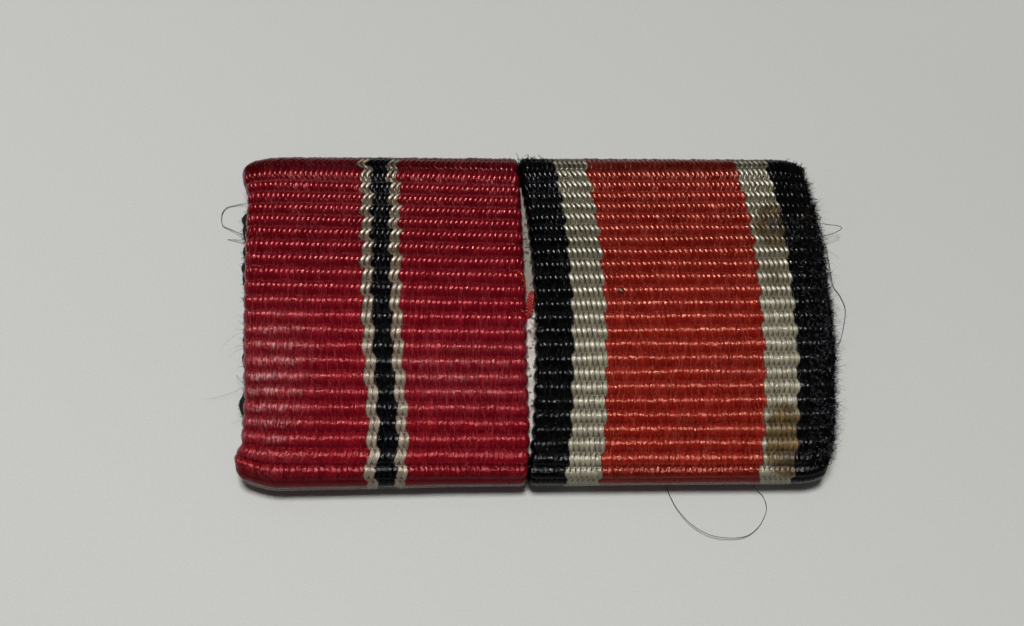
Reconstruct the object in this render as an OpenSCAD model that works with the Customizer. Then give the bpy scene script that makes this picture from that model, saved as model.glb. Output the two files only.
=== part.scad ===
// Ribbon bar: a crowned metal plate with two woven rep ribbons wound round it,
// a felt backing and a plain brooch pin behind.
// X runs along the bar, Y up its face as it is worn, and Z out of its face.
// The origin lies under the middle of the bar, on the surface that it rests on.

/* [Plate] */
// Width of the plate across its crown, measured straight
plate_w = 16.5; // [15:0.5:20]
// Thickness of the sheet metal
plate_t = 0.5; // [0.4:0.05:0.8]
// Radius of the crown, to the middle of the sheet
crown_r = 26.2; // [22:0.2:30]
// Radius of the plate's four corners
corner_r = 1.2; // [0.6:0.1:2]

/* [Ribbons] */
// Width of the left ribbon
left_w = 15; // [12:0.5:20]
// Width of the right ribbon
right_w = 16; // [12:0.5:20]
// Thickness of a ribbon from its inner face to the top of a rib
ribbon_t = 1; // [0.8:0.05:1.4]
// Height of a rib above the groove beside it
rib_h = 0.34; // [0.15:0.01:0.45]
// Spacing of the ribs on the left ribbon
left_pitch = 0.83; // [0.6:0.01:1.2]
// Spacing of the ribs on the right ribbon
right_pitch = 0.76; // [0.6:0.01:1.2]
// How far each rib's end stands out of the selvedge
rib_end = 0.05; // [0:0.01:0.07]
// Gap between the ribbons where it is widest, half way up the face
seam_gap = 0.6; // [0.55:0.05:1]
// Length of ribbon tucked behind each long edge of the plate
tuck = 4; // [2:0.25:5]
// Ribbon left over past each short end of the plate
overhang = 0.6; // [0.3:0.05:1]

/* [Backing] */
// Thickness of the felt
felt_t = 1; // [0.8:0.05:1.2]
// How far the felt stands out past the ribbons' outer selvedges
felt_proud = 0.4; // [0.1:0.05:1]
// How far the felt's long edges stay in from the plate's long edges
felt_inset = 0.85; // [0.6:0.05:2]
// Length over which the felt steps up from the ribbon ends to the plate
felt_step = 1.3; // [1:0.1:1.6]
// Radius of the felt's corners
felt_corner = 1.5; // [0.8:0.1:3]

/* [Pin] */
// Diameter of the pin's wire
pin_d = 0.7; // [0.5:0.05:0.8]
// Length of the pin between its two posts
pin_span = 21; // [14:0.5:22]
// Length of the point past the collar
point_l = 1.5; // [0.5:0.1:2]
// Diameter of the two posts that hold the pin to the plate
post_d = 0.6; // [0.4:0.05:0.8]
// Diameter of the knuckle and of the catch's collar
collar_d = 1.2; // [1:0.05:1.3]
// Length of the knuckle and of the collar
collar_l = 1; // [0.6:0.1:2]

/* [Fits] */
// Clearance between pieces that lie against each other
clear = 0.05; // [0.03:0.01:0.1]
// Height of the folded edges above the surface that the felt rests on
rest_gap = 0.3; // [0.2:0.05:0.5]
// Height of the pin's collar above that surface
pin_gap = 0.1; // [0.05:0.05:0.2]

/* [Hidden] */
$fn = 48;

// One row for each place down a ribbon's face. The columns are the height on the crown, as a share of the
// way from its middle to a fold, the outer selvedge's distance from its straight line, as a share of the
// ribbon's width, and the seam selvedge's distance from its own, as a share of the seam's gap.
LEFT_BOW = [
  [-1.30, -0.008, -0.05],
  [-1.05, -0.011, -0.03],
  [-0.92, -0.001, 0.10],
  [-0.77, 0.007, 0.15],
  [-0.63, 0.014, 0.10],
  [-0.48, 0.008, 0.05],
  [0.00, 0.000, 0.00],
  [0.45, -0.004, -0.12],
  [0.78, -0.008, -0.22],
  [0.95, -0.022, -0.27],
  [1.15, 0.000, -0.30],
];
RIGHT_BOW = [
  [-1.30, -0.034, -0.80],
  [-1.05, -0.030, -0.78],
  [-0.95, -0.020, -0.60],
  [-0.77, -0.007, -0.33],
  [-0.30, 0.003, -0.05],
  [0.00, 0.000, 0.00],
  [0.33, -0.009, -0.20],
  [0.65, -0.022, -0.50],
  [0.84, -0.034, -0.78],
  [0.95, -0.042, -0.99],
  [1.15, -0.046, -1.03],
];
// The felt's two short ends in the same way: the height is a share of the way from the middle to the
// felt's long edge, and the left and right ends' distances are shares of the plate's width.
FELT_BOW = [
  [-1.00, 0.012, -0.016],
  [-0.80, 0.006, -0.008],
  [-0.35, 0.000, 0.000],
  [0.00, 0.000, 0.000],
  [0.35, 0.003, -0.010],
  [0.70, 0.006, -0.022],
  [1.00, 0.012, -0.034],
];
// Places across one rib where its outline has a point, as shares of the spacing
RIB_STEPS = [0, 0.22, 0.5, 0.78];
// How round a rib is: 1 is a half sine, and less is fuller
RIB_ROUND = 0.7;
// Places in from the outer selvedge with a line of points, as shares of the way past the plate's corner
OUTER_STEPS = [0, 0.12, 0.45, 0.8, 1.25];
// Places in from the seam selvedge with a line of points, as shares of the thickness
SEAM_STEPS = [0, 0.25];
// Thickness at a selvedge, as a share of the full thickness
SELVEDGE_SHARE = 0.6;
// Smallest distance from a rib's point to where the tucked end begins, as a share of the spacing
RIB_MARGIN = 0.1;
// Number of steps along a tucked end
TUCK_STEPS = 5;
// How fast the ribs close up where the plate's corner draws them in
CORNER_POWER = 4;
// How much of a corner's quarter round the ribbon follows
CORNER_REACH = 0.96;
// Number of straight steps along a curve of the felt, and round the whole circle of the crown
FELT_STEPS = 60;
CROWN_STEPS = 200;
// Smallest radius at the pin's point
POINT_R = 0.05;

half_l = (left_w + seam_gap + right_w) / 2;
half_w = plate_w / 2;
crown_a = asin(half_w / crown_r);
inner_h = plate_t / 2 + clear;
outer_h = inner_h + ribbon_t;
crown_z = outer_h + rest_gap - crown_r * cos(crown_a);
top_z = crown_z + crown_r + outer_h;

// Lengths along the outer face of a ribbon, from the middle of the front
face_len = (crown_r + outer_h) * crown_a * PI / 180;
turn_len = face_len + outer_h * PI;

plate_end = half_l - overhang;
corner_l = overhang + corner_r;
felt_end = half_l + felt_proud;
felt_half_w = half_w - felt_inset;

// Radii of the felt's upper side, against the plate and against the tucked ribbon ends
felt_high_r = crown_r - plate_t / 2 - clear;
felt_low_r = crown_r - outer_h - clear;
tuck_a = crown_a - tuck / (crown_r - outer_h) * 180 / PI;
tuck_end = (crown_r - outer_h) * sin(tuck_a);
felt_rim_a = asin(felt_half_w / felt_low_r);
felt_flat_a = acos(-crown_z / (felt_low_r - felt_t));

pin_z = pin_gap + collar_d / 2;
post_top = crown_z + crown_r - plate_t / 2 - clear / 2;

// How far a corner of radius r has drawn in at a distance d past the start of its round
function corner_cut(d, r) = r - sqrt(r * r - pow(max(0, min(d, CORNER_REACH * r)), 2));

// Angle of the fold's centre line from the top of the crown, at a place x along the bar
function fold_a(x) =
  asin((half_w - corner_cut(abs(x) - plate_end + corner_r - 2 * clear, corner_r)) / crown_r);

// Place of a point in Y and Z: p along the ribbon from the middle of the front, h above the plate's middle
function on_face(p, h, x) =
  let (share = abs(p) / face_len)
  let (a = sign(p) * (crown_a * share - (crown_a - fold_a(x)) * pow(share, CORNER_POWER)))
  [(crown_r + h) * sin(a), crown_z + (crown_r + h) * cos(a)];
function on_fold(p, h, x) =
  let (a = fold_a(x), turn = a + (abs(p) - face_len) / outer_h * 180 / PI)
  [sign(p) * (crown_r * sin(a) + h * sin(turn)), crown_z + crown_r * cos(a) + h * cos(turn)];
function on_back(p, h, x) =
  let (share = (abs(p) - turn_len) / tuck, a = fold_a(x) * (1 - share) + tuck_a * share)
  [sign(p) * (crown_r - h) * sin(a), crown_z + (crown_r - h) * cos(a)];
function on_wrap(p, h, x) =
  abs(p) <= face_len ? on_face(p, h, x) : abs(p) <= turn_len ? on_fold(p, h, x) : on_back(p, h, x);

// Fullness of the rib at p: 0 in a groove, 1 on top. The tucked ends lie flat.
function rib(p, pitch) = abs(p) > turn_len ? 1 : pow(abs(sin(180 * (p / pitch + 0.5))), RIB_ROUND);

// Rows of points along a ribbon
function wrap_rows(pitch) = concat(
  [for (i = [TUCK_STEPS:-1:0]) -turn_len - tuck * i / TUCK_STEPS],
  [for (k = [-ceil(turn_len / pitch):ceil(turn_len / pitch)], s = RIB_STEPS)
    let (p = (k + s - 0.5) * pitch)
    if (abs(p) < turn_len - RIB_MARGIN * pitch) p],
  [for (i = [0:TUCK_STEPS]) turn_len + tuck * i / TUCK_STEPS]
);

function column(rows, c) = [for (r = rows) [r[0], r[c]]];
function outer_x(p, side, w, bow, fullness) =
  side * half_l + w * lookup(p / face_len, column(bow, 1)) + side * rib_end * fullness;
function seam_x(p, side, w, bow, fullness) =
  side * (half_l - w) + seam_gap * lookup(p / face_len, column(bow, 2)) - side * rib_end * fullness;

// Lines of points across a ribbon, from its outer selvedge to the seam
function across(p, side, w, bow, fullness) = concat(
  [for (s = OUTER_STEPS) outer_x(p, side, w, bow, fullness) - side * s * corner_l],
  [for (i = [len(SEAM_STEPS) - 1:-1:0])
    seam_x(p, side, w, bow, fullness) + side * SEAM_STEPS[i] * ribbon_t]
);

// The four corners of a cell in a grid that is m points wide, as two triangles
function cell(a, b, c, d) = [[a, b, c], [a, c, d]];
function turned(f) = [f[2], f[1], f[0]];

// A ribbon wound round the plate. side is -1 for the left ribbon and 1 for the right one.
module ribbon(side, w, pitch, bow) {
  rows = wrap_rows(pitch);
  n = len(rows);
  m = len(OUTER_STEPS) + len(SEAM_STEPS);
  layers = [for (outside = [true, false], p = rows)
    let (full = rib(p, pitch), xs = across(p, side, w, bow, full))
    for (j = [0:m - 1])
      let (share = j == 0 || j == m - 1 ? SELVEDGE_SHARE : 1)
      let (h = outside ? inner_h + (ribbon_t - rib_h * (1 - full)) * share : inner_h)
      let (yz = on_wrap(p, h, xs[j]))
      [xs[j], yz[0], yz[1]]];
  inside = n * m;
  faces = concat(
    [for (i = [0:n - 2], j = [0:m - 2],
      f = cell(i * m + j, (i + 1) * m + j, (i + 1) * m + j + 1, i * m + j + 1)) f],
    [for (i = [0:n - 2], j = [0:m - 2],
      f = cell(i * m + j, i * m + j + 1, (i + 1) * m + j + 1, (i + 1) * m + j)) [for (v = f) v + inside]],
    [for (i = [0:n - 2], f = cell(i * m, inside + i * m, inside + (i + 1) * m, (i + 1) * m)) f],
    [for (i = [0:n - 2], f = cell(i * m, (i + 1) * m, inside + (i + 1) * m, inside + i * m))
      [for (v = f) v + m - 1]],
    [for (j = [0:m - 2], f = cell(j, j + 1, inside + j + 1, inside + j)) f],
    [for (j = [0:m - 2], f = cell(j, inside + j, inside + j + 1, j + 1)) [for (v = f) v + (n - 1) * m]]
  );
  polyhedron(points = layers, faces = side < 0 ? faces : [for (f = faces) turned(f)]);
}

module ribbon_left() {
  color("firebrick") ribbon(-1, left_w, left_pitch, LEFT_BOW);
}

module ribbon_right() {
  color("orangered") ribbon(1, right_w, right_pitch, RIGHT_BOW);
}

// A slab lying on Z = 0 with its four upright edges rounded
module rounded_slab(l, w, h, r) {
  translate([-l / 2 + r, -w / 2, 0]) cube([l - 2 * r, w, h]);
  translate([-l / 2, -w / 2 + r, 0]) cube([l, w - 2 * r, h]);
  for (sx = [-1, 1], sy = [-1, 1])
    translate([sx * (l / 2 - r), sy * (w / 2 - r), 0]) cylinder(h = h, r = r);
}

module plate() {
  color("silver")
  intersection() {
    rounded_slab(2 * plate_end, plate_w, top_z, corner_r);
    translate([0, 0, crown_z]) rotate([0, 90, 0])
      difference() {
        cylinder(h = 2 * plate_end, r = crown_r + plate_t / 2, center = true, $fn = CROWN_STEPS);
        cylinder(h = 2 * felt_end, r = crown_r - plate_t / 2, center = true, $fn = CROWN_STEPS);
      }
  }
}

// Radius of the felt's upper side at an angle a from the top of the crown
function felt_r(a) =
  let (y = felt_low_r * sin(abs(a)), s = max(0, min(1, (tuck_end - clear - y) / felt_step)))
  felt_low_r + (felt_high_r - felt_low_r) * s * s * (3 - 2 * s);
function felt_point(r, a) = [r * sin(a), crown_z + r * cos(a)];
function felt_share(i) = 2 * i / FELT_STEPS - 1;

// The felt cut across: it follows the plate and the ribbon ends, and lies flat where it rests
module felt_section() {
  over = [for (i = [0:FELT_STEPS]) let (a = felt_rim_a * felt_share(i)) felt_point(felt_r(a), a)];
  under = [for (i = [FELT_STEPS:-1:0])
    let (a = felt_flat_a * felt_share(i)) felt_point(felt_r(a) - felt_t, a)];
  polygon(concat(over, [[felt_half_w, 0]], under, [[-felt_half_w, 0]]));
}

// The felt's outline from above
module felt_outline() {
  ys = [for (i = [0:FELT_STEPS]) felt_half_w * felt_share(i)];
  function end_x(y, side, c) =
    side * (felt_end - corner_cut(abs(y) - felt_half_w + felt_corner, felt_corner))
    + plate_w * lookup(y / felt_half_w, column(FELT_BOW, c));
  polygon(concat(
    [for (y = ys) [end_x(y, 1, 2), y]],
    [for (i = [FELT_STEPS:-1:0]) [end_x(ys[i], -1, 1), ys[i]]]
  ));
}

module felt_backing() {
  color("dimgray")
  difference() {
    intersection() {
      linear_extrude(height = top_z) felt_outline();
      translate([-2 * felt_end, 0, 0]) rotate([90, 0, 90])
        linear_extrude(height = 4 * felt_end) felt_section();
    }
    for (s = [-1, 1])
      translate([s * pin_span / 2, 0, 0]) cylinder(h = top_z, d = post_d + 2 * clear);
  }
}

module pin() {
  color("slategray")
  translate([0, 0, pin_z]) {
    rotate([0, 90, 0]) cylinder(h = pin_span, d = pin_d, center = true);
    translate([-pin_span / 2, 0, 0]) rotate([90, 0, 0]) cylinder(h = collar_l, d = collar_d, center = true);
    translate([pin_span / 2, 0, 0]) rotate([0, 90, 0]) {
      cylinder(h = collar_l, d = collar_d, center = true);
      translate([0, 0, collar_l / 2]) cylinder(h = point_l, r1 = pin_d / 2, r2 = POINT_R);
    }
    for (s = [-1, 1])
      translate([s * pin_span / 2, 0, 0]) cylinder(h = post_top - pin_z, d = post_d);
  }
}

plate();
ribbon_left();
ribbon_right();
felt_backing();
pin();
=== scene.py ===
# %% [markdown]
# # A worn ribbon bar
# A ribbon bar is a small crowned plate with medal ribbons wound round it side by side, felt behind it and a
# brooch pin to wear it by. The CAD model holds the plate, the pin and the plain bodies of the ribbons and
# the felt. This lesson keeps the plate and the pin, and builds the cloth again with its real weave.
#
# The first cell loads the CAD model. Its boxes are kept for the sizes below.

# %% Load the frame
import math

import bpy
import numpy as np
from mathutils import Matrix, Vector


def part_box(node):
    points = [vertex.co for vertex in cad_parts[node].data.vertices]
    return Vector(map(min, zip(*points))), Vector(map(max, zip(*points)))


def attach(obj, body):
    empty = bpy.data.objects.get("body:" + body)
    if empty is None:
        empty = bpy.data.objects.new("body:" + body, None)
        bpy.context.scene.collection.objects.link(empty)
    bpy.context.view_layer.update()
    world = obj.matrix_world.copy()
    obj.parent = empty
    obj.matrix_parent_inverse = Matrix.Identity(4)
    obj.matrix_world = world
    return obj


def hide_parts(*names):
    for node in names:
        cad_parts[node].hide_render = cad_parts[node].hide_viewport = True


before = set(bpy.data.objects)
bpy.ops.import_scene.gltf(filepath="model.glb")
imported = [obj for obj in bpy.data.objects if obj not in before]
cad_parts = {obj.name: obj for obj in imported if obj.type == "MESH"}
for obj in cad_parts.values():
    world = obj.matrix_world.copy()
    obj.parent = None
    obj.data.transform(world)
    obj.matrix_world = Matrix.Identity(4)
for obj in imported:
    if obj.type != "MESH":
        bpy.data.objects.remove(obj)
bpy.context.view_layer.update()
print("CAD nodes:", sorted(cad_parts))

# %% [markdown]
# ## Sizes
# Everything below is worked out in millimetres, because the threads are easier to think about that way, and
# is scaled to metres only when a mesh is made. The crown of the plate isn't written down again: a sheet of
# known thickness, bent to an arc, has one radius that gives the width and the height of its box, so it is
# worked out from the box of the CAD plate.

# %% Sizes from the frame
MM = 0.001
PLATE_T = 0.5
OVERHANG = 0.6
CLEAR = 0.05
TUCK = 4.0


def box_mm(node):
    low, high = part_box(node)
    return np.array(low) / MM, np.array(high) / MM


plate_low, plate_high = box_mm("plate")
half_w, plate_end = plate_high[1], plate_high[0]
half_l = plate_end + OVERHANG
rise = plate_high[2] - plate_low[2] - PLATE_T
crown_r = (half_w ** 2 + rise ** 2) / (2 * rise) + PLATE_T / 2
crown_z = plate_high[2] - PLATE_T / 2 - crown_r
crown_a = math.asin(half_w / crown_r)
inner_h = PLATE_T / 2 + CLEAR
outer_h = box_mm("ribbon_left")[1][2] - crown_z - crown_r
ribbon_t = outer_h - inner_h
face_len = (crown_r + outer_h) * crown_a
turn_len = face_len + outer_h * math.pi
tuck_a = crown_a - TUCK / (crown_r - outer_h)
print(f"crown radius {crown_r:.2f} mm, ribbon {ribbon_t:.2f} mm thick, face {face_len:.2f} mm to a fold")

# %% [markdown]
# ## The camera
# The view is close and a little from below the bar, so the near fold and its shadow show. The distance
# matters as much as the angle here: at under 100 mm the bar's ends are seen slightly from inside.

# %% Camera
IMAGE_W = 1024
SENSOR_W = 36.0
FOCAL_PX = 1800.4
AIM = Vector((-1.54, -0.8, 4.23))
AWAY = 96.3
TILT, YAW, ROLL = (math.radians(v) for v in (21.3, -3.06, -1.15))

toward_eye = Vector((math.sin(YAW), -math.sin(TILT) * math.cos(YAW), math.cos(TILT) * math.cos(YAW)))
sight = -toward_eye
level = sight.cross(Vector((0, 1, 0))).normalized()
upright = level.cross(sight)
across = math.cos(ROLL) * level + math.sin(ROLL) * upright
upward = math.cos(ROLL) * upright - math.sin(ROLL) * level

camera = bpy.data.objects.new("camera", bpy.data.cameras.new("camera"))
bpy.context.scene.collection.objects.link(camera)
turn = Matrix((across, upward, toward_eye)).transposed().to_4x4()
camera.matrix_world = Matrix.Translation((AIM + AWAY * toward_eye) * MM) @ turn
camera.data.sensor_width = SENSOR_W
camera.data.lens = FOCAL_PX / IMAGE_W * SENSOR_W
camera.data.clip_start, camera.data.clip_end = 0.001, 10
bpy.context.scene.camera = camera
print(f"camera {AWAY:.0f} mm away, lens {camera.data.lens:.1f} mm")

# %% [markdown]
# ## Helpers for meshes and nodes
# Two helpers carry the whole lesson. `mesh_piece` turns arrays of points and faces into an object with its
# materials. `node` makes a shader node and fills its inputs in one call: an input that is given another
# node's output is linked, and anything else is set as a value. The short ones after it make the nodes that
# are used most: a sum, a mix of two colours, a field that the mesh carries, a ramp, a noise and a product.
# `eased` is the soft step that bends, folds and patches all use, and `unit` makes vectors one long.

# %% Helpers
def mesh_piece(name, points, faces, materials, face_material=None, fields=None, smooth=True):
    mesh = bpy.data.meshes.new(name)
    mesh.from_pydata((np.asarray(points) * MM).tolist(), [], faces)
    for material in materials:
        mesh.materials.append(material)
    if face_material is not None:
        mesh.polygons.foreach_set("material_index", np.asarray(face_material, np.int32))
    mesh.polygons.foreach_set("use_smooth", np.full(len(mesh.polygons), smooth))
    for field, values in (fields or {}).items():
        kind, slot = ("FLOAT_VECTOR", "vector") if values.ndim == 2 else ("FLOAT", "value")
        layer = mesh.attributes.new(field, kind, "POINT")
        layer.data.foreach_set(slot, values.astype(np.float32).ravel())
    mesh.update()
    piece = bpy.data.objects.new(name, mesh)
    bpy.context.scene.collection.objects.link(piece)
    return piece


def node(tree, kind, inputs=None, **settings):
    made = tree.nodes.new("ShaderNode" + kind)
    for name, value in settings.items():
        setattr(made, name, value)
    for name, value in (inputs or {}).items():
        if isinstance(value, bpy.types.NodeSocket):
            tree.links.new(value, made.inputs[name])
        else:
            made.inputs[name].default_value = value
    return made


def maths(tree, operation, *values):
    return node(tree, "Math", dict(enumerate(values)), operation=operation).outputs[0]


def blended(tree, share, first, second, blend="MIX"):
    made = node(tree, "Mix", {"Factor": share}, data_type="RGBA", blend_type=blend)
    for name, value in (("A", first), ("B", second)):
        socket = next(s for s in made.inputs if s.name == name and s.type == "RGBA")
        if isinstance(value, bpy.types.NodeSocket):
            tree.links.new(value, socket)
        else:
            socket.default_value = (*value, 1)
    return next(s for s in made.outputs if s.type == "RGBA")


def field_of(tree, name, output="Fac"):
    return node(tree, "Attribute", attribute_type="GEOMETRY", attribute_name=name).outputs[output]


def ramped(tree, value, low, high, to_low=0.0, to_high=1.0):
    inputs = {"Value": value, "From Min": low, "From Max": high, "To Min": to_low, "To Max": to_high}
    return node(tree, "MapRange", inputs).outputs["Result"]


def noise(tree, place, scale, detail, **more):
    inputs = {"Vector": place, "Scale": scale, "Detail": detail, **more}
    return node(tree, "TexNoise", inputs).outputs["Fac"]


def product(tree, first, *factors):
    for factor in factors:
        first = maths(tree, "MULTIPLY", first, factor)
    return first


def eased(share):
    return share * share * (3 - 2 * share)


def unit(vectors):
    return vectors / np.linalg.norm(vectors, axis=-1, keepdims=True)


print("helpers ready")

# %% [markdown]
# ## Shader groups
# Some effects turn up in several finishes: the filaments of a yarn, the ragged edge of a stain, and the
# slow mottling that any used surface has. Their nodes could be copied into every material, but then each
# change would have to be made many times. Each is a node group instead, made once, with named inputs and
# outputs, so that a finish only says how much of it there is. The yarns get more groups further down.

# %% A maker of node groups
def shader_group(name, inputs, outputs):
    tree = bpy.data.node_groups.new(name, "ShaderNodeTree")
    for label, kind, value in inputs:
        socket = tree.interface.new_socket(label, in_out="INPUT", socket_type="NodeSocket" + kind)
        if value is not None:
            socket.default_value = value
    for label, kind in outputs:
        tree.interface.new_socket(label, in_out="OUTPUT", socket_type="NodeSocket" + kind)
    return tree, tree.nodes.new("NodeGroupInput").outputs, tree.nodes.new("NodeGroupOutput").inputs


def placed(tree, group, inputs):
    return node(tree, "Group", inputs, node_tree=group).outputs


# %% Filaments: a yarn is a bundle of fine fibres laid at a slant
STREAK_BAND = (0.45, 0.72)

filaments, given, put = shader_group(
    "filaments",
    [("Thread", "Vector", None), ("Fineness", "Float", 30.0), ("Twist", "Float", 0.3),
     ("Length", "Float", 1.0)],
    [("Height", "Float"), ("Streak", "Float")])
parts = node(filaments, "SeparateXYZ", {0: given["Thread"]}).outputs
slanted = maths(filaments, "MULTIPLY_ADD", parts["Y"], given["Twist"], parts["X"])
over = maths(filaments, "MULTIPLY", slanted, given["Fineness"])
along = maths(filaments, "DIVIDE", parts["Y"], given["Length"])
place = node(filaments, "CombineXYZ", {"X": over, "Y": along, "Z": parts["Z"]}).outputs[0]
fibre = noise(filaments, place, 1.0, 2.0, Roughness=0.6)
filaments.links.new(fibre, put["Height"])
filaments.links.new(ramped(filaments, fibre, *STREAK_BAND), put["Streak"])
print("group:", filaments.name)

# %% Ragged: gives a soft painted mask the torn edge of a real stain
TORN_BAND = (0.3, 0.75)

ragged, given, put = shader_group(
    "ragged",
    [("Mask", "Float", 0.0), ("Place", "Vector", None), ("Grain", "Float", 3.0),
     ("Raggedness", "Float", 0.6)],
    [("Mask", "Float")])
grain = maths(ragged, "SUBTRACT", noise(ragged, given["Place"], given["Grain"], 3.0), 0.5)
shaken = maths(ragged, "MULTIPLY_ADD", grain, given["Raggedness"], given["Mask"])
ragged.links.new(ramped(ragged, shaken, *TORN_BAND), put["Mask"])
print("group:", ragged.name)

# %% Mottling: slow light and dark, as a factor round 1
mottling, given, put = shader_group(
    "mottling",
    [("Place", "Vector", None), ("Scale", "Float", 1.0), ("Amount", "Float", 0.2)],
    [("Factor", "Float"), ("Noise", "Float")])
slow = noise(mottling, given["Place"], given["Scale"], 3.0)
swing = maths(mottling, "MULTIPLY", maths(mottling, "SUBTRACT", slow, 0.5), given["Amount"])
mottling.links.new(maths(mottling, "ADD", swing, 1.0), put["Factor"])
mottling.links.new(slow, put["Noise"])
print("group:", mottling.name)

# %% [markdown]
# ## Floor and light
# The bar lies on pale smooth paper. One lamp almost straight above does most of the work: it is small for
# its distance, so the shadow under the near fold is narrow and rather sharp. A second lamp, which only
# glossy surfaces see, puts the bright points on the silk. Splitting the two is what a photographer does with
# flags: the shadow and the gloss can then be set one by one. A faint warm sky fills the shadows, and is
# fainter still for glossy surfaces, so that it doesn't veil the dark yarns.
#
# The paper could be one flat colour, but then the picture's largest area would look empty. Real paper has
# soft clouds and a fine grain, and a painted fall-off of the light is added, so those three are multiplied
# into its colour.

# %% Finish of the paper
def material_of(name):
    material = bpy.data.materials.new(name)
    material.use_nodes = True
    tree = material.node_tree
    return material, tree, tree.nodes["Principled BSDF"].inputs


PAPER = (0.586, 0.600, 0.594)
PAPER_FALLOFF_SPAN = (-35.0, 45.0)
PAPER_LIGHT_FALLOFF = (1.03, 0.9)
PAPER_FALLOFF_SKEW = 1.3
PAPER_FLECK = 0.00002

paper, tree, finish = material_of("paper")
place = node(tree, "TexCoord").outputs["Object"]
cloud = placed(tree, mottling, {"Place": place, "Scale": 18.0, "Amount": 0.04})
grainy = placed(tree, mottling, {"Place": place, "Scale": 9000.0, "Amount": 0.2})
fleck = noise(tree, place, 2600.0, 3.0)
parts = node(tree, "SeparateXYZ", {0: place}).outputs
# Painted fall-off of the light: the paper is a little darker towards the far right corner.
slope = maths(tree, "MULTIPLY_ADD", parts["Y"], PAPER_FALLOFF_SKEW, parts["X"])
painted_falloff = ramped(tree, slope, *(end * MM for end in PAPER_FALLOFF_SPAN), *PAPER_LIGHT_FALLOFF)
shade = product(tree, cloud["Factor"], grainy["Factor"], painted_falloff)
tree.links.new(blended(tree, 1.0, PAPER, shade, "MULTIPLY"), finish["Base Color"])
finish["Roughness"].default_value = 0.9
finish["Specular IOR Level"].default_value = 0.1
bump = node(tree, "Bump", {"Strength": 0.12, "Distance": PAPER_FLECK, "Height": fleck})
tree.links.new(bump.outputs[0], finish["Normal"])
print("finish:", paper.name)

# %% Floor
FLOOR_HALF = 500.0
FLOOR_Z = -0.01

corners = [(x * FLOOR_HALF, y * FLOOR_HALF, FLOOR_Z) for x, y in ((-1, -1), (1, -1), (1, 1), (-1, 1))]
floor = mesh_piece("floor", corners, [(0, 1, 2, 3)], [paper])
print("floor:", 2 * FLOOR_HALF, "mm wide")

# %% Lamps
WORLD = (1.0, 0.925, 0.885)
WORLD_STRENGTH = 0.085
GLOSSY_SKY = 0.07
LAMPS = [
    # name, degrees towards +Y, degrees towards -X, distance, width in mm, watts, colour, only gloss
    ("key", 1.0, 4.0, 420.0, 88.0, 1.50, (1.0, 0.985, 0.955), False),
    ("sparkle", 21.0, 7.0, 420.0, 60.0, 2.6, (1.0, 0.97, 0.94), True),
]

world = bpy.data.worlds.new("studio")
world.use_nodes = True
sky = world.node_tree.nodes["Background"].inputs
sky["Color"].default_value = (*WORLD, 1)
glossy = node(world.node_tree, "LightPath").outputs["Is Glossy Ray"]
strength = ramped(world.node_tree, glossy, 0, 1, WORLD_STRENGTH, WORLD_STRENGTH * GLOSSY_SKY)
world.node_tree.links.new(strength, sky["Strength"])
bpy.context.scene.world = world
bpy.context.scene.view_settings.view_transform = "Standard"

for name, north, west, distance, width, watts, colour, gloss_only in LAMPS:
    lamp = bpy.data.lights.new(name, "AREA")
    lamp.shape, lamp.size, lamp.energy, lamp.color = "DISK", width * MM, watts, colour
    hung = bpy.data.objects.new(name, lamp)
    bpy.context.scene.collection.objects.link(hung)
    way = Vector((-math.tan(math.radians(west)), math.tan(math.radians(north)), 1)).normalized()
    hung.location = way * distance * MM
    hung.rotation_mode = "QUATERNION"
    hung.rotation_quaternion = way.to_track_quat("Z", "Y")
    hung.visible_diffuse = not gloss_only
    print(f"lamp {name}: {watts} W at {distance:.0f} mm")

# %% [markdown]
# ## How a ribbon goes round the plate
# A ribbon starts behind one long edge of the plate, goes round that edge, over the crown, round the other
# edge and back behind it. A place on it is given by three numbers: how far along the ribbon from the middle
# of the face, how high above the middle of the plate's sheet, and how far along the bar. The next cell turns
# them into a point. It follows the same rules as the CAD model, so the woven ribbon lands on the plain one.

# %% From ribbon to space
CORNER_POWER = 4
CORNER_SPAN = 2.2
CORNER_MOST = 1.1
CORNER_EASE = 2.4
CORNER_DROPS = {(-1, 1): 0.33, (-1, -1): 0.35, (1, 1): 0.8, (1, -1): 0.7}


def corner_drop(x, p):
    """How far a fold draws in at the bar's corners, where the stiff ribbon bends smoothly round the plate."""
    reach = np.clip((np.abs(x) - half_l) / CORNER_SPAN + 1, 0, CORNER_MOST)
    drops = sum(d * ((np.sign(x) == sx) & (np.sign(p) == sp)) for (sx, sp), d in CORNER_DROPS.items())
    return drops * reach ** CORNER_EASE


def on_wrap(p, h, x):
    size, way = np.abs(p), np.sign(p)
    edge_a = np.arcsin((half_w - corner_drop(x, p)) / crown_r)
    share = np.minimum(size / face_len, 1)
    face_a = crown_a * share - (crown_a - edge_a) * share ** CORNER_POWER
    turn_a = edge_a + np.clip(size - face_len, 0, outer_h * math.pi) / outer_h
    back = np.clip((size - turn_len) / TUCK, 0, 1)
    back_a = edge_a * (1 - back) + tuck_a * back
    places = [size <= face_len, size <= turn_len]
    y = np.select(places, [(crown_r + h) * np.sin(face_a), crown_r * np.sin(edge_a) + h * np.sin(turn_a)],
                  (crown_r - h) * np.sin(back_a))
    z = np.select(places, [(crown_r + h) * np.cos(face_a), crown_r * np.cos(edge_a) + h * np.cos(turn_a)],
                  (crown_r - h) * np.cos(back_a))
    return np.stack([x, way * y, crown_z + z], axis=-1)


print("top of the wrap:", on_wrap(np.array(0.0), np.array(outer_h), np.array(0.0)).round(2), "mm")

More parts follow.
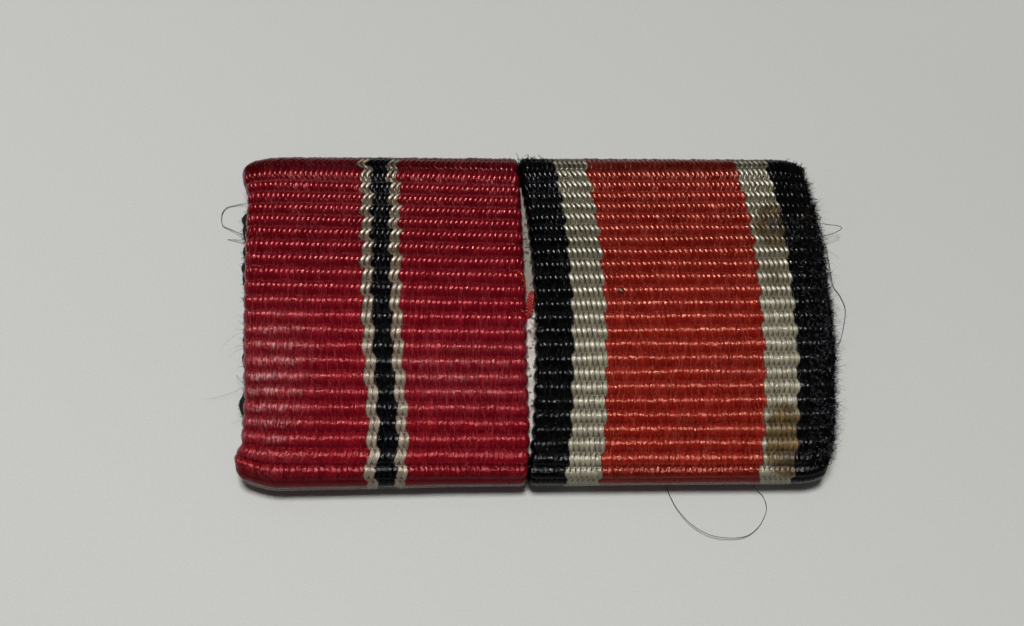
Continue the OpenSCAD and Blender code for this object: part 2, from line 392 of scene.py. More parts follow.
# %% [markdown]
# ## The two ribbons
# Medal ribbon is a rep weave: thick weft cords run across it, and silk warp threads go over and under them.
# The warp is so dense that only it shows, as rows of short floats, each row on one cord and set half a step
# beside the next. Every stripe is a number of warp threads. They alternate between odd and even cords,
# which is why a stripe's edge makes a small zigzag.
#
# The tables say how each selvedge, the middle of the cloth and its rows wander as they go up the face. Their
# first column is the share of the way from the middle of the face to a fold, and below 0 it is the near one.

# %% Plan of the ribbons
LEFT_BOW = [
    # share of the way to a fold, outer selvedge's share of the width, seam selvedge's share of the gap
    (-1.35, 0.015, -0.05), (-1.14, -0.018, -0.03), (-1.02, -0.021, 0.08), (-0.93, 0.001, 0.12),
    (-0.77, 0.006, 0.15), (-0.63, 0.010, 0.10), (-0.48, 0.006, 0.05), (0.00, 0.000, 0.00),
    (0.45, -0.004, -0.12), (0.82, -0.006, -0.22), (0.93, -0.024, -0.22), (1.03, -0.032, -0.22),
    (1.15, -0.005, -0.26), (1.35, 0.015, -0.26)]
RIGHT_BOW = [
    (-1.30, -0.034, -0.80), (-1.05, -0.030, -0.78), (-0.95, -0.023, -0.60), (-0.77, -0.014, -0.33),
    (-0.30, -0.005, -0.05), (0.00, -0.009, 0.00), (0.33, -0.013, -0.20), (0.65, -0.022, -0.50),
    (0.84, -0.034, -0.78), (0.95, -0.042, -0.99), (1.15, -0.046, -1.03)]
SEAM_GAP = 0.6

LEFT = {
    "name": "ribbon_left", "side": -1, "width": 15.0, "pitch": 0.83, "slant": 1.6, "seed": 11,
    "bow": LEFT_BOW,
    "tilt": ((-1, -0.009), (-0.5, -0.009), (0, -0.0175), (0.5, -0.024), (1, -0.0265)),
    "stripes": (("crimson", 45), ("ecru", 4), ("black", 7), ("ecru", 4), ("crimson", 48)),
    "middle_drift": ((-1.05, 0.42), (-0.62, 0.20), (-0.38, 0.09), (0, 0), (1, 0.03)),
    "row_drift": ((-1.2, -0.10), (-1.0, -0.29), (-0.88, -0.17), (-0.45, -0.15), (0, -0.08),
                  (0.45, -0.02), (0.57, -0.06), (0.85, -0.15), (1.0, -0.03), (1.1, 0.0)),
}
RIGHT = {
    "name": "ribbon_right", "side": 1, "width": 16.0, "pitch": 0.76, "slant": -1, "seed": 23,
    "bow": RIGHT_BOW,
    "tilt": ((-1, -0.002), (-0.5, 0.005), (0, 0.010), (0.5, 0.010), (1, 0.016)),
    "stripes": (("black", 14), ("cream", 13), ("red", 61), ("cream", 13), ("black", 14)),
    "middle_drift": ((-1.05, 0.05), (0, 0), (1, 0)),
    "row_drift": ((-1.2, -0.25), (-1.0, -0.42), (-0.88, -0.31), (-0.7, -0.33), (-0.3, -0.24),
                  (0, -0.16), (0.4, -0.04), (0.75, -0.10), (1.0, 0.0), (1.1, 0.0)),
}
for ribbon in (LEFT, RIGHT):
    ribbon["ends"] = np.repeat([s[0] for s in ribbon["stripes"]], [s[1] for s in ribbon["stripes"]])
    ribbon["count"] = len(ribbon["ends"])
    ribbon["thread"] = ribbon["width"] / ribbon["count"]
    print(f"{ribbon['name']}: {ribbon['count']} warp threads, {ribbon['thread']:.3f} mm each")

# %% [markdown]
# Where the cloth is worn, its floats are rubbed flat and its threads blur into one another. A worn place, a
# stain, a sooty fleck or a rubbed patch with pale streaks, partly real wear and partly a painted sheen, could
# be drawn on an image, but here it is a soft spot that a formula gives: its middle along the bar and along
# the ribbon, its reach both ways and its strength. Noise from a fixed seed keeps the spots and the rows from
# being perfect.

# %% Soft spots and steady noise
def ripple(values, wavelength, seed):
    rng = np.random.default_rng(seed)
    waves = rng.uniform(0.6, 1.6, 5) * wavelength
    phases = rng.uniform(0, 2 * math.pi, 5)
    return sum(np.cos(2 * math.pi * values / w + f) for w, f in zip(waves, phases)) / 3


def patches(x, y, size, seed):
    rng = np.random.default_rng(seed)
    lattice = rng.random((64, 64))
    u, v = x / size + 20, y / size + 20
    i, j = np.floor(u).astype(int), np.floor(v).astype(int)
    fu, fv = eased(u - i), eased(v - j)

    def row_at(b):
        return lattice[i % 64, b % 64] * (1 - fu) + lattice[(i + 1) % 64, b % 64] * fu

    return row_at(j) * (1 - fv) + row_at(j + 1) * fv


def soft_spots(spots, x, p):
    total = np.zeros(np.broadcast(x, p).shape)
    for sx, sp, reach_x, reach_p, strength in spots:
        total += strength * np.exp(-((x - sx) / reach_x) ** 2 - ((p - sp) / reach_p) ** 2)
    return np.clip(total, 0, 1)


LEFT["wear"] = [(-13.5, -5.0, 3.0, 5.0, 0.6), (-7.5, -3.8, 14.0, 5.5, 0.85), (-7.5, -10.5, 16.0, 4.0, 0.9)]
RIGHT["wear"] = [(7.5, -3.8, 14.0, 6.0, 0.9), (7.5, -10.5, 16.0, 4.0, 0.9), (12.6, -3.0, 1.6, 5.0, 0.4)]
# Rubbed spots: pale streaks on the crests, partly real wear and partly a painted sheen.
LEFT["rubbed_sheen"] = [(-14.4, -5.2, 1.6, 2.8, 0.9), (-4.3, -4.2, 4.0, 1.6, 0.35), (-13.9, -2.5, 1.6, 2.0, 0.4)]
RIGHT["rubbed_sheen"] = [(10.5, -3.4, 2.0, 1.0, 0.35)]
LEFT["stain"] = []
RIGHT["stain"] = [(13.1, 4.75, 0.8, 0.95, 3.2), (12.8, 1.5, 0.8, 1.6, 0.5),
                  (13.0, -6.9, 0.85, 1.0, 1.7), (13.1, -8.3, 0.85, 1.1, 3.4)]
LEFT["soot"] = []
RIGHT["soot"] = [(4.34, 0.5, 0.24, 0.17, 1.3), (13.1, 4.7, 0.65, 0.75, 0.72), (13.05, -8.9, 0.9, 0.9, 0.62),
                 (15.4, 5.5, 1.2, 3.4, 1.2)]
print("marks on the left and right ribbons:", len(LEFT["rubbed_sheen"]), len(RIGHT["stain"]))

# %% [markdown]
# ## The height of the cloth
# At any place the cloth is as high as the highest float there. A float rides over its own cord and dives at
# both ends, and in the groove the floats of the two cords close like a zip. So the height is the larger of
# two values: the float on the nearest cord, and the one on the cord over the nearer groove. Which float wins
# also says which thread's colour shows.

# %% Floats
RIB_H = 0.27
RIB_ROUND = 0.7
RIB_CREST = 1.9
SLIT = {"crimson": 0.08, "red": 0.085, "cream": 0.14, "ecru": 0.14, "black": 0.12}
WORN_SLIT = {"crimson": 0.93, "red": 0.93, "cream": 0.92, "ecru": 0.92, "black": 0.3}
LEAST_ROOM = 0.05
ZIP = 2.2
STAGGER = 4.5
FAR_START, NEAR_START, FOLD_SPAN = -0.95, 0.1, 0.8
FAR_FLAT, NEAR_FLAT = 0.9, 0.8
FOLD_SMOOTH, SMOOTH_FROM = 0.75, 0.6
SLACK_RISE = 4.0
FOLD_SLACK = ((-15.5, 0.12), (-14.0, 0.24), (-11.0, 0.2), (-5.0, 0.08), (4.0, 0.03), (12.0, 0.0))
FLOAT_JITTER, JITTER_MOST = 0.013, 0.022
RIB_PAD = 64


def float_at(ribbon, c, rib):
    """The float of a cord at thread number c: distance from its middle, its thread, its row in a table."""
    odd = rib % 2
    end = 2 * np.round((c - odd - 0.5) / 2) + odd
    return np.abs(c - end - 0.5), np.clip(end, 0, ribbon["count"] - 1).astype(int), rib + RIB_PAD


def lens(off, room):
    return 1 - np.sqrt(1 - np.clip(off / np.maximum(room, LEAST_ROOM), 0, 1) ** 2)


def woven(ribbon, c, g, wear):
    """The cord's height, the float's own relief, winning thread, tone and slit, at thread c and cord g."""
    rib = np.floor(g + 0.5).astype(int)
    t = g - rib
    rng = np.random.default_rng(ribbon["seed"])
    tones = rng.random((2 * RIB_PAD, ribbon["count"]))
    jitter = np.clip(rng.normal(0, FLOAT_JITTER, tones.shape), -JITTER_MOST, JITTER_MOST)
    room = np.minimum(0.5 + ZIP * (0.5 - np.abs(t)), 1)
    off, end, row = float_at(ribbon, c, rib)
    next_off, next_end, next_row = float_at(ribbon, c, rib + np.where(t < 0, -1, 1))
    own = off <= room
    winner, place = np.where(own, end, next_end), np.where(own, row, next_row)
    deepest, filled = (np.array([table[name] for name in ribbon["ends"]])[winner]
                       for table in (SLIT, WORN_SLIT))
    depth = deepest * (1 - filled * wear)
    bulge = jitter[place, winner] * np.cos(math.pi * t)
    ridge = RIB_H * (1 - np.abs(2 * t + STAGGER * bulge) ** RIB_CREST)
    slit = np.where(own, lens(off, room), lens(next_off, 1 - room))
    return ridge, bulge - depth * slit, winner, tones[place, winner], slit


def fold_share(p):
    """0 on the face and 1 round a fold, where the cords are stretched apart and stand up less."""
    start = np.where(p < 0, NEAR_START, FAR_START)
    return eased(np.clip((np.abs(p) - face_len - start) / FOLD_SPAN, 0, 1))


def slack(p, x):
    """How far the ribbon bags out over the near fold."""
    share = np.clip((SLACK_RISE - p - face_len) / SLACK_RISE, 0, 1)
    return eased(share) * np.interp(x, *zip(*FOLD_SLACK))


print("slits are up to", max(SLIT.values()), "mm deep")

# %% [markdown]
# Nothing on a worn ribbon is straight. Each selvedge bulges at the end of every cord, the rows tilt and
# wander, and the threads lean a little from one cord to the next, which gives the floats their slant. Three
# functions say where a thread and a cord are, and everything that lies on the ribbon asks them.

# %% Selvedges and rows
RIB_END, SEAM_END = 0.05, 0.1
SLANT = ((-9.0, 0.03), (-5.0, 0.01), (0.0, 0.03), (4.0, 0.075))
ROW_WANDER, WANDER_LENGTH, ROW_SHIFT = 0.035, 9.0, 37.0


def fullness(g):
    return np.abs(np.cos(math.pi * (g - np.floor(g + 0.5)))) ** RIB_ROUND


def selvedges(ribbon, p, g):
    """The two edges of a ribbon, the left one first, with each cord's end standing out a little."""
    share, side, bow = p / face_len, ribbon["side"], np.array(ribbon["bow"])
    outer = side * half_l + ribbon["width"] * np.interp(share, bow[:, 0], bow[:, 1])
    seam = side * (half_l - ribbon["width"]) + SEAM_GAP * np.interp(share, bow[:, 0], bow[:, 2])
    outer, seam = outer + side * RIB_END * fullness(g), seam - side * SEAM_END * (fullness(g) - 0.5)
    return (outer, seam) if side < 0 else (seam, outer)


def across_at(ribbon, c, p, g):
    """Place along the bar of thread number c."""
    left, right = selvedges(ribbon, p, g)
    share = c / ribbon["count"]
    drift = np.interp(p / face_len, *zip(*ribbon["middle_drift"])) * np.sin(math.pi * share)
    slant = ribbon["slant"] * np.interp(p, *zip(*SLANT)) * np.sin(2 * math.pi * g)
    slant *= np.clip(8 * share * (1 - share), 0, 1)
    return left + (right - left) * share + drift + slant


def along_at(ribbon, c, g):
    """Place along the ribbon of cord number g, which tilts and wanders a little as it crosses."""
    x = (c / ribbon["count"] - 0.5) * ribbon["width"]
    low, high = np.floor(g), np.floor(g) + 1

    def bend(k):
        return ROW_WANDER * ripple(x + ROW_SHIFT * k, WANDER_LENGTH, ribbon["seed"])

    wander = bend(low) * (high - g) + bend(high) * (g - low)
    p = g * ribbon["pitch"]
    calm = np.clip((turn_len + TUCK - np.abs(p)) / TUCK, 0, 1)
    tilt, drift = (np.interp(p / face_len, *zip(*ribbon[name])) for name in ("tilt", "row_drift"))
    return p + calm * (wander + tilt * x + drift)


print("cords on the left ribbon's face:", round(2 * face_len / LEFT["pitch"]))

# %% [markdown]
# ## Building a ribbon
# A ribbon is a closed band: rings of points go round its cross-section, one ring after another along its
# length. Real thread curves, woven over and under, would need many times the triangles and cross each other
# where they touch, so the band is one skin that has the height of the cloth at every point. The outer side
# has three points to a warp thread, enough for a round float and a sharp slit, and seven rings to a cord
# where it can be seen. The hidden tucked ends have fewer. The points carry soft fields for the finishes.

# %% Rings of a ribbon
FINE_STEPS = (-0.5, -0.41, -0.27, -0.09, 0.09, 0.27, 0.41)
COARSE_STEPS = (-0.5, -0.2, 0.2)
FINE_PAST_FOLD = 2.7
PER_THREAD = 3
EDGE_ROUND = 0.35
SELVEDGE_SHARE = 0.6


def rings(ribbon):
    end = turn_len + TUCK
    last = math.ceil(end / ribbon["pitch"])
    fine = (face_len + FINE_PAST_FOLD) / ribbon["pitch"]
    rows = [k + s for k in range(-last, last + 1) for s in (FINE_STEPS if abs(k) < fine else COARSE_STEPS)]
    return np.array([g for g in rows if abs(g) * ribbon["pitch"] < end])


def surface(ribbon, c, g):
    """Points of the outer side, with its fields."""
    p = along_at(ribbon, c, g)
    x = across_at(ribbon, c, p, g)
    wear = soft_spots(ribbon["wear"], x, p)
    ridge, relief, end, tone, slit = woven(ribbon, c, g, wear)
    edge = np.clip(np.minimum(c, ribbon["count"] - c) * ribbon["thread"] / EDGE_ROUND, 0, 1)
    round_off = SELVEDGE_SHARE + (1 - SELVEDGE_SHARE) * np.sqrt(1 - (1 - edge) ** 2)
    fold = fold_share(p)
    flatten = np.where(p < 0, NEAR_FLAT, FAR_FLAT) * fold
    smooth = np.clip((fold - SMOOTH_FROM) / (1 - SMOOTH_FROM), 0, 1) * (p < 0)
    relief = relief * (1 - FOLD_SMOOTH * smooth)
    h = inner_h + slack(p, x) + (ribbon_t + (ridge - RIB_H) * (1 - flatten) + relief) * round_off
    groove = np.clip(1 - (ridge + relief) / RIB_H, 0, 1)
    return p, x, h, {"tone": tone, "groove": groove, "wear": wear, "slit": slit, "fold": fold}


print("rings on the left and right ribbons:", len(rings(LEFT)), len(rings(RIGHT)))

# %% [markdown]
# The rings are closed with two low walls at the selvedges and a plain inner side, and quads join each ring
# to the next. Each face takes the yarn of the thread that wins there. Two kinds of place get a duller copy
# of their yarn: the steep cloth past the near fold, and the cream threads that a stain has soaked.

# %% Walls, faces and their yarns
WALL_SHARES = (0.3, 0.7)
WALL_BULGE = 0.06
FOLD_PART = 0.75
SOAKED = 0.45


def closed_rings(g, p, x, h):
    """The outer side's points, followed by one wall, the inner side and the other wall."""
    full = fullness(g)
    walls = []
    for column, outward in ((-1, 1), (0, -1)):
        for share in WALL_SHARES:
            wx = x[:, column] + outward * WALL_BULGE * full[:, 0] * math.sin(math.pi * share)
            wh = h[:, column] * (1 - share) + inner_h * share
            walls.append(on_wrap(p[:, column], wh, wx))
    inner = [on_wrap(p[:, j], np.full(len(g), inner_h), x[:, j]) for j in (-1, x.shape[1] // 2, 0)]
    return np.concatenate([on_wrap(p, h, x), np.stack(walls[:2] + inner + walls[:1:-1], axis=1)], axis=1)


def band_faces(n, m):
    """Quads between n rings of m points, and the two caps at the tucked ends."""
    j = np.arange(m)
    after = (j + 1) % m
    sides = [np.stack([i * m + j, i * m + after, (i + 1) * m + after, (i + 1) * m + j], axis=1)
             for i in range(n - 1)]
    return np.concatenate(sides)[:, ::-1].tolist(), [list(range(m)), list(range((n - 1) * m, n * m))[::-1]]


def face_yarns(ribbon, names, c, g, p, x, extra):
    """The material number of every face, in the order of names, the same past the fold, and soaked cream."""
    past_top = np.repeat([c[0, -1], 0.0], (extra // 2 + 1, extra - extra // 2))
    mid_c = np.concatenate([(c[0, 1:] + c[0, :-1]) / 2, past_top])
    owner = woven(ribbon, mid_c[None, :], (g[1:] + g[:-1]) / 2, 0.0)[2]
    yarn_at = np.array([names.index(name) for name in ribbon["ends"]])[owner]
    past_fold = (p[1:, :1] + p[:-1, :1]) / 2 < -face_len - FOLD_PART
    soaked = soft_spots(ribbon["stain"], x, p) > SOAKED
    soaked = np.pad(soaked[1:, 1:] & soaked[:-1, :-1], ((0, 0), (0, extra + 1)))
    soaked &= ribbon["ends"][owner] == "cream"
    look = np.where(soaked, 2 * len(names), yarn_at + len(names) * past_fold).ravel()
    return np.concatenate([look, look[[0, -1]]])


print("faces take their yarn from the winning thread")

# %% A woven ribbon
CREASE_SLIT = 0.9
CREASE_GROOVE = 0.49
TONE_STEP = 40


def crease(mesh, in_groove, in_slit):
    """Mark as sharp the edges that run along a groove or a slit, so the gloss doesn't run across them."""
    ends = np.empty(2 * len(mesh.edges), np.int32)
    mesh.edges.foreach_get("vertices", ends)
    a, b = ends.reshape(-1, 2).T
    sharp = (in_groove[a] & in_groove[b]) | (in_slit[a] & in_slit[b])
    mesh.attributes.new("sharp_edge", "BOOLEAN", "EDGE").data.foreach_set("value", sharp)


def woven_ribbon(ribbon):
    g = rings(ribbon)[:, None]
    c = (np.arange(ribbon["count"] * PER_THREAD)[None, :] + 0.5) / PER_THREAD
    c = np.concatenate([[[0.0]], c, [[ribbon["count"]]]], axis=1)
    p, x, h, fields = surface(ribbon, c, g)
    for mark in ("rubbed_sheen", "stain", "soot"):
        fields[mark] = soft_spots(ribbon[mark], x, p)
    across_thread = np.broadcast_to(c * ribbon["thread"], p.shape)
    fields["thread"] = np.stack([across_thread, p, fields["tone"] * TONE_STEP], axis=-1)
    ring = closed_rings(g, p, x, h)
    n, m = ring.shape[:2]
    extra = m - c.shape[1]
    on_points = {}
    for name, values in fields.items():
        carried = np.concatenate([values, np.repeat(values[:, -1:], extra, axis=1)], axis=1)
        on_points[name] = carried.reshape(n * m, *values.shape[2:])
    names = list(dict.fromkeys(ribbon["ends"]))
    materials = [*(yarns[name] for name in names), *(folded[name] for name in names), cream_soiled]
    sides, caps = band_faces(n, m)
    looks = face_yarns(ribbon, names, c, g, p, x, extra)
    points, name = ring.reshape(-1, 3), ribbon["name"] + "_woven"
    piece = mesh_piece(name, points, sides + caps, materials, looks, on_points)
    in_groove = np.abs(g[:, 0] - np.round(g[:, 0])) > CREASE_GROOVE
    crease(piece.data, np.repeat(in_groove, m), on_points["slit"] > CREASE_SLIT)
    print(f"{piece.name}: {n} rings of {m} points, {2 * len(sides) + 2 * m} triangles")
    return piece


print("ready to weave")

# %% [markdown]
# ## Silk
# A yarn's colour has a painted highlight on top of the cord and painted shade deep in the groove. Real floats
# differ a little from one another, so every float has its own tone, and the slit between two of them gets
# painted shade. This could be drawn on an image, but it has to follow threads of a seventh of a millimetre,
# so it is worked out from the fields that the weave has left on its points. The yarns differ only in colours
# and amounts, so each step is a group that they all share.

# %% Yarn body: a painted highlight on the crest, painted shade in the groove, even where it is worn
yarn_body, given, put = shader_group(
    "yarn_body",
    [("Groove", "Float", 0.0), ("Wear", "Float", 0.0), ("Reach", "Float", 0.7), ("Evens", "Float", 0.7),
     ("Top", "Color", None), ("Painted Groove Shade", "Color", None), ("Worn", "Color", None)],
    [("Colour", "Color")])
shade_share = ramped(yarn_body, given["Groove"], 0.0, given["Reach"])
lit_and_shaded = blended(yarn_body, shade_share, given["Top"], given["Painted Groove Shade"])
evened = maths(yarn_body, "MULTIPLY", given["Wear"], given["Evens"])
yarn_body.links.new(blended(yarn_body, evened, lit_and_shaded, given["Worn"]), put["Colour"])
print("group:", yarn_body.name)

# %% Slit mask: where painted shade falls between two floats; it closes round a fold, with wear and on a worn crest
slit_mask, given, put = shader_group(
    "slit_mask",
    [("Slit", "Float", 0.0), ("Groove", "Float", 0.0), ("Wear", "Float", 0.0), ("Fold", "Float", 0.0),
     ("From", "Float", 0.1), ("To", "Float", 0.9), ("Worn Slit", "Float", 0.3),
     ("Crest From", "Float", 0.04), ("Crest To", "Float", 0.2), ("Crest Share", "Float", 0.35)],
    [("Mask", "Float")])
at_crest = ramped(slit_mask, given["Wear"], 0, 1, 1.0, given["Crest Share"])
mask = product(
    slit_mask,
    ramped(slit_mask, given["Slit"], given["From"], given["To"]),
    ramped(slit_mask, given["Fold"], 0, 1, 1.0, given["Worn Slit"]),
    ramped(slit_mask, given["Wear"], 0, 1, 1.0, given["Worn Slit"]),
    ramped(slit_mask, given["Groove"], given["Crest From"], given["Crest To"], at_crest, 1.0))
slit_mask.links.new(mask, put["Mask"])
print("group:", slit_mask.name)

# %% Float light: a float's own tone, painted shade round a fold and in a slit, and a face a little darker towards its upper end
TONE_SWING = 0.15
# The colour grows a little darker towards the upper end of the face.
UPPER_DARKER_SPAN = (-1.5, 3.5)
UPPER_DARKER_FACTOR = 0.78
FIBRE_BAND, FIBRE_SHADES = (0.3, 0.7), (0.8, 1.2)

float_light, given, put = shader_group(
    "float_light",
    [("Thread", "Vector", None), ("Slow", "Float", 1.0), ("Fibre", "Float", 0.5), ("Tone", "Float", 0.5),
     ("Fold", "Float", 0.0), ("Slit Mask", "Float", 0.0), ("Fold Shade", "Float", 0.45),
     ("Slit Shade", "Float", 0.7)],
    [("Light", "Float")])
up_face = node(float_light, "SeparateXYZ", {0: given["Thread"]}).outputs["Y"]
light = product(
    float_light,
    given["Slow"],
    ramped(float_light, given["Tone"], 0, 1, 1 - TONE_SWING, 1 + TONE_SWING),
    ramped(float_light, given["Fold"], 0, 1, 1.0, given["Fold Shade"]),
    ramped(float_light, up_face, *UPPER_DARKER_SPAN, 1.0, UPPER_DARKER_FACTOR),
    ramped(float_light, given["Slit Mask"], 0, 1, 1.0, given["Slit Shade"]),
    ramped(float_light, given["Fibre"], *FIBRE_BAND, *FIBRE_SHADES))
float_light.links.new(light, put["Light"])
print("group:", float_light.name)

# %% Chalk and sheen: pale streaks on the crests of a place that was rubbed hard, partly wear and partly a painted sheen
CHALK_SHEEN = (0.62, 0.45, 0.46)
CHALK_SHEEN_DEPTH = 0.4
CHALK_SHEEN_IN_GROOVE = 0.12

chalk_and_sheen, given, put = shader_group(
    "chalk_and_sheen",
    [("Colour", "Color", None), ("Rubbed Sheen", "Float", 0.0), ("Streak", "Float", 0.0),
     ("Groove", "Float", 0.0), ("Amount", "Float", 0.9)],
    [("Colour", "Color")])
least = maths(chalk_and_sheen, "MULTIPLY", given["Amount"], CHALK_SHEEN_IN_GROOVE)
crest = ramped(chalk_and_sheen, given["Groove"], 0.0, CHALK_SHEEN_DEPTH, given["Amount"], least)
sheen_streaks = product(chalk_and_sheen, given["Streak"], crest, given["Rubbed Sheen"])
chalk_and_sheen.links.new(blended(chalk_and_sheen, sheen_streaks, given["Colour"], CHALK_SHEEN), put["Colour"])
print("group:", chalk_and_sheen.name)

# %% [markdown]
# Dirt is the last layer of colour. A brown stain has soaked into the pale yarn and keeps its light and dark,
# so its colour is multiplied by the same light as the yarn's. Soot lies on top and hides what is under it.
# Both also take away a little of the gloss, which differs slightly from float to float besides.

# %% Soiling: a stain in the yarn and soot on it
STAIN = (0.125, 0.070, 0.012)
STAIN_CONTRAST = 1.5
SOOT = (0.010, 0.007, 0.0045)

soiling, given, put = shader_group(
    "soiling",
    [("Colour", "Color", None), ("Light", "Float", 1.0), ("Stain", "Float", 0.0), ("Soot", "Float", 0.0),
     ("Takes Stain", "Float", 0.0)],
    [("Colour", "Color")])
soaked = blended(soiling, 1.0, STAIN, maths(soiling, "POWER", given["Light"], STAIN_CONTRAST), "MULTIPLY")
stained = maths(soiling, "MULTIPLY", given["Stain"], given["Takes Stain"])
stained = blended(soiling, stained, given["Colour"], soaked)
soiling.links.new(blended(soiling, given["Soot"], stained, SOOT), put["Colour"])
print("group:", soiling.name)

# %% Yarn gloss: how rough a float is
GLOSS_SPREAD = 0.12
STAIN_DULL = 0.05
SOOT_DULL = 0.05

yarn_gloss, given, put = shader_group(
    "yarn_gloss",
    [("Gloss", "Float", 0.26), ("Worn Dull", "Float", 0.0), ("Wear", "Float", 0.0), ("Tone", "Float", 0.5),
     ("Stain", "Float", 0.0), ("Soot", "Float", 0.0)],
    [("Roughness", "Float")])
rough = maths(yarn_gloss, "MULTIPLY_ADD", given["Wear"], given["Worn Dull"], given["Gloss"])
off_middle = maths(yarn_gloss, "SUBTRACT", given["Tone"], 0.5)
rough = maths(yarn_gloss, "MULTIPLY_ADD", off_middle, GLOSS_SPREAD, rough)
rough = maths(yarn_gloss, "MULTIPLY_ADD", given["Stain"], STAIN_DULL, rough)
rough = maths(yarn_gloss, "MULTIPLY_ADD", given["Soot"], SOOT_DULL, rough)
yarn_gloss.links.new(rough, put["Roughness"])
print("group:", yarn_gloss.name)

# %% Yarn relief: the height of the filaments, fuzzier where it is worn and calmer round a fold
FUZZ_RELIEF = 12.0
CALM_FROM, CALM_LEFT = 0.6, 0.15

yarn_relief, given, put = shader_group(
    "yarn_relief",
    [("Fibre", "Float", 0.5), ("Fuzz", "Float", 0.5), ("Wear", "Float", 0.0), ("Fold", "Float", 0.0)],
    [("Height", "Float")])
worn_fuzz = maths(yarn_relief, "MULTIPLY", given["Fuzz"], given["Wear"])
relief = maths(yarn_relief, "MULTIPLY_ADD", worn_fuzz, FUZZ_RELIEF, given["Fibre"])
relief = product(yarn_relief, relief, ramped(yarn_relief, given["Fold"], CALM_FROM, 1, 1.0, CALM_LEFT))
yarn_relief.links.new(relief, put["Height"])
print("group:", yarn_relief.name)

# %% [markdown]
# A yarn puts the groups together. The filaments give its gloss a broken, stringy look: they tip the normal
# from side to side, so a lamp shows as a row of small points and not as a line. The strength and the tint of
# the gloss are the same all over a yarn, so they are set on the shader itself.

# %% Yarn finish
FIBRES = {"Fineness": 26.0, "Length": 0.9}
FUZZ = {"Fineness": 10.0, "Twist": 0.05, "Length": 0.35}
SLOW = {"Scale": 0.35, "Amount": 0.35}
STAIN_EDGE = {"Grain": 3.0, "Raggedness": 1.0}
SOOT_EDGE = {"Grain": 8.0, "Raggedness": 0.5}
FIBRE_BUMP = {"Strength": 0.8, "Distance": 0.00001}


def yarn(name, top, painted_groove_shade, worn, tint, slit_shade, shine=0.5, gloss=0.26, twist=0.3, chalk_sheen=0.9, reach=0.7,
         slit_band=(0.1, 0.9), worn_dull=0.0, takes_stain=0.0, worn_slit=0.3, fold_shade=0.45, evens=0.7,
         slit_crest=(0.04, 0.2, 0.35)):
    material, tree, finish = material_of(name)
    thread = field_of(tree, "thread", "Vector")
    marks = ("groove", "tone", "wear", "slit", "fold", "rubbed_sheen", "stain", "soot")
    groove, tone, wear, slit, fold, rubbed_sheen, stain, soot = (field_of(tree, mark) for mark in marks)
    fibres = placed(tree, filaments, {"Thread": thread, "Twist": twist, **FIBRES})
    fuzz = placed(tree, filaments, {"Thread": thread, **FUZZ})
    slow = placed(tree, mottling, {"Place": thread, **SLOW})
    stain = placed(tree, ragged, {"Mask": stain, "Place": thread, **STAIN_EDGE})["Mask"]
    soot = placed(tree, ragged, {"Mask": soot, "Place": thread, **SOOT_EDGE})["Mask"]
    # The crest colour carries a painted highlight and the groove colour painted shade.
    body = placed(tree, yarn_body, {
        "Groove": groove, "Wear": wear, "Reach": reach, "Evens": evens,
        "Top": (*top, 1), "Painted Groove Shade": (*painted_groove_shade, 1), "Worn": (*worn, 1)})
    slits = placed(tree, slit_mask, {
        "Slit": slit, "Groove": groove, "Wear": wear, "Fold": fold, "Worn Slit": worn_slit,
        "From": slit_band[0], "To": slit_band[1],
        "Crest From": slit_crest[0], "Crest To": slit_crest[1], "Crest Share": slit_crest[2]})
    light = placed(tree, float_light, {
        "Thread": thread, "Slow": slow["Factor"], "Fibre": fibres["Height"], "Tone": tone, "Fold": fold,
        "Slit Mask": slits["Mask"], "Fold Shade": fold_shade, "Slit Shade": slit_shade})
    shaded = blended(tree, 1.0, body["Colour"], light["Light"], "MULTIPLY")
    with_sheen = placed(tree, chalk_and_sheen, {
        "Colour": shaded, "Rubbed Sheen": rubbed_sheen, "Streak": fuzz["Streak"], "Groove": groove, "Amount": chalk_sheen})
    soiled = placed(tree, soiling, {
        "Colour": with_sheen["Colour"], "Light": light["Light"], "Stain": stain, "Soot": soot,
        "Takes Stain": takes_stain})
    rough = placed(tree, yarn_gloss, {
        "Gloss": gloss, "Worn Dull": worn_dull, "Wear": wear, "Tone": tone, "Stain": stain, "Soot": soot})
    relief = placed(tree, yarn_relief, {
        "Fibre": fibres["Height"], "Fuzz": fuzz["Height"], "Wear": wear, "Fold": fold})
    bump = node(tree, "Bump", {"Height": relief["Height"], **FIBRE_BUMP})
    tree.links.new(soiled["Colour"], finish["Base Color"])
    tree.links.new(rough["Roughness"], finish["Roughness"])
    tree.links.new(bump.outputs[0], finish["Normal"])
    finish["Specular IOR Level"].default_value = shine
    finish["Specular Tint"].default_value = (*tint, 1)
    print("finish:", material.name)
    return material


# %% [markdown]
# The left ribbon's pale stripes are warmer than the right one's. They are ecru, which is the cream with
# other colours. Past the near fold the cloth turns away from the eye and would shine too much, so a second
# set of the yarns has a third of the shine. Cream that a stain has soaked has half of it left.

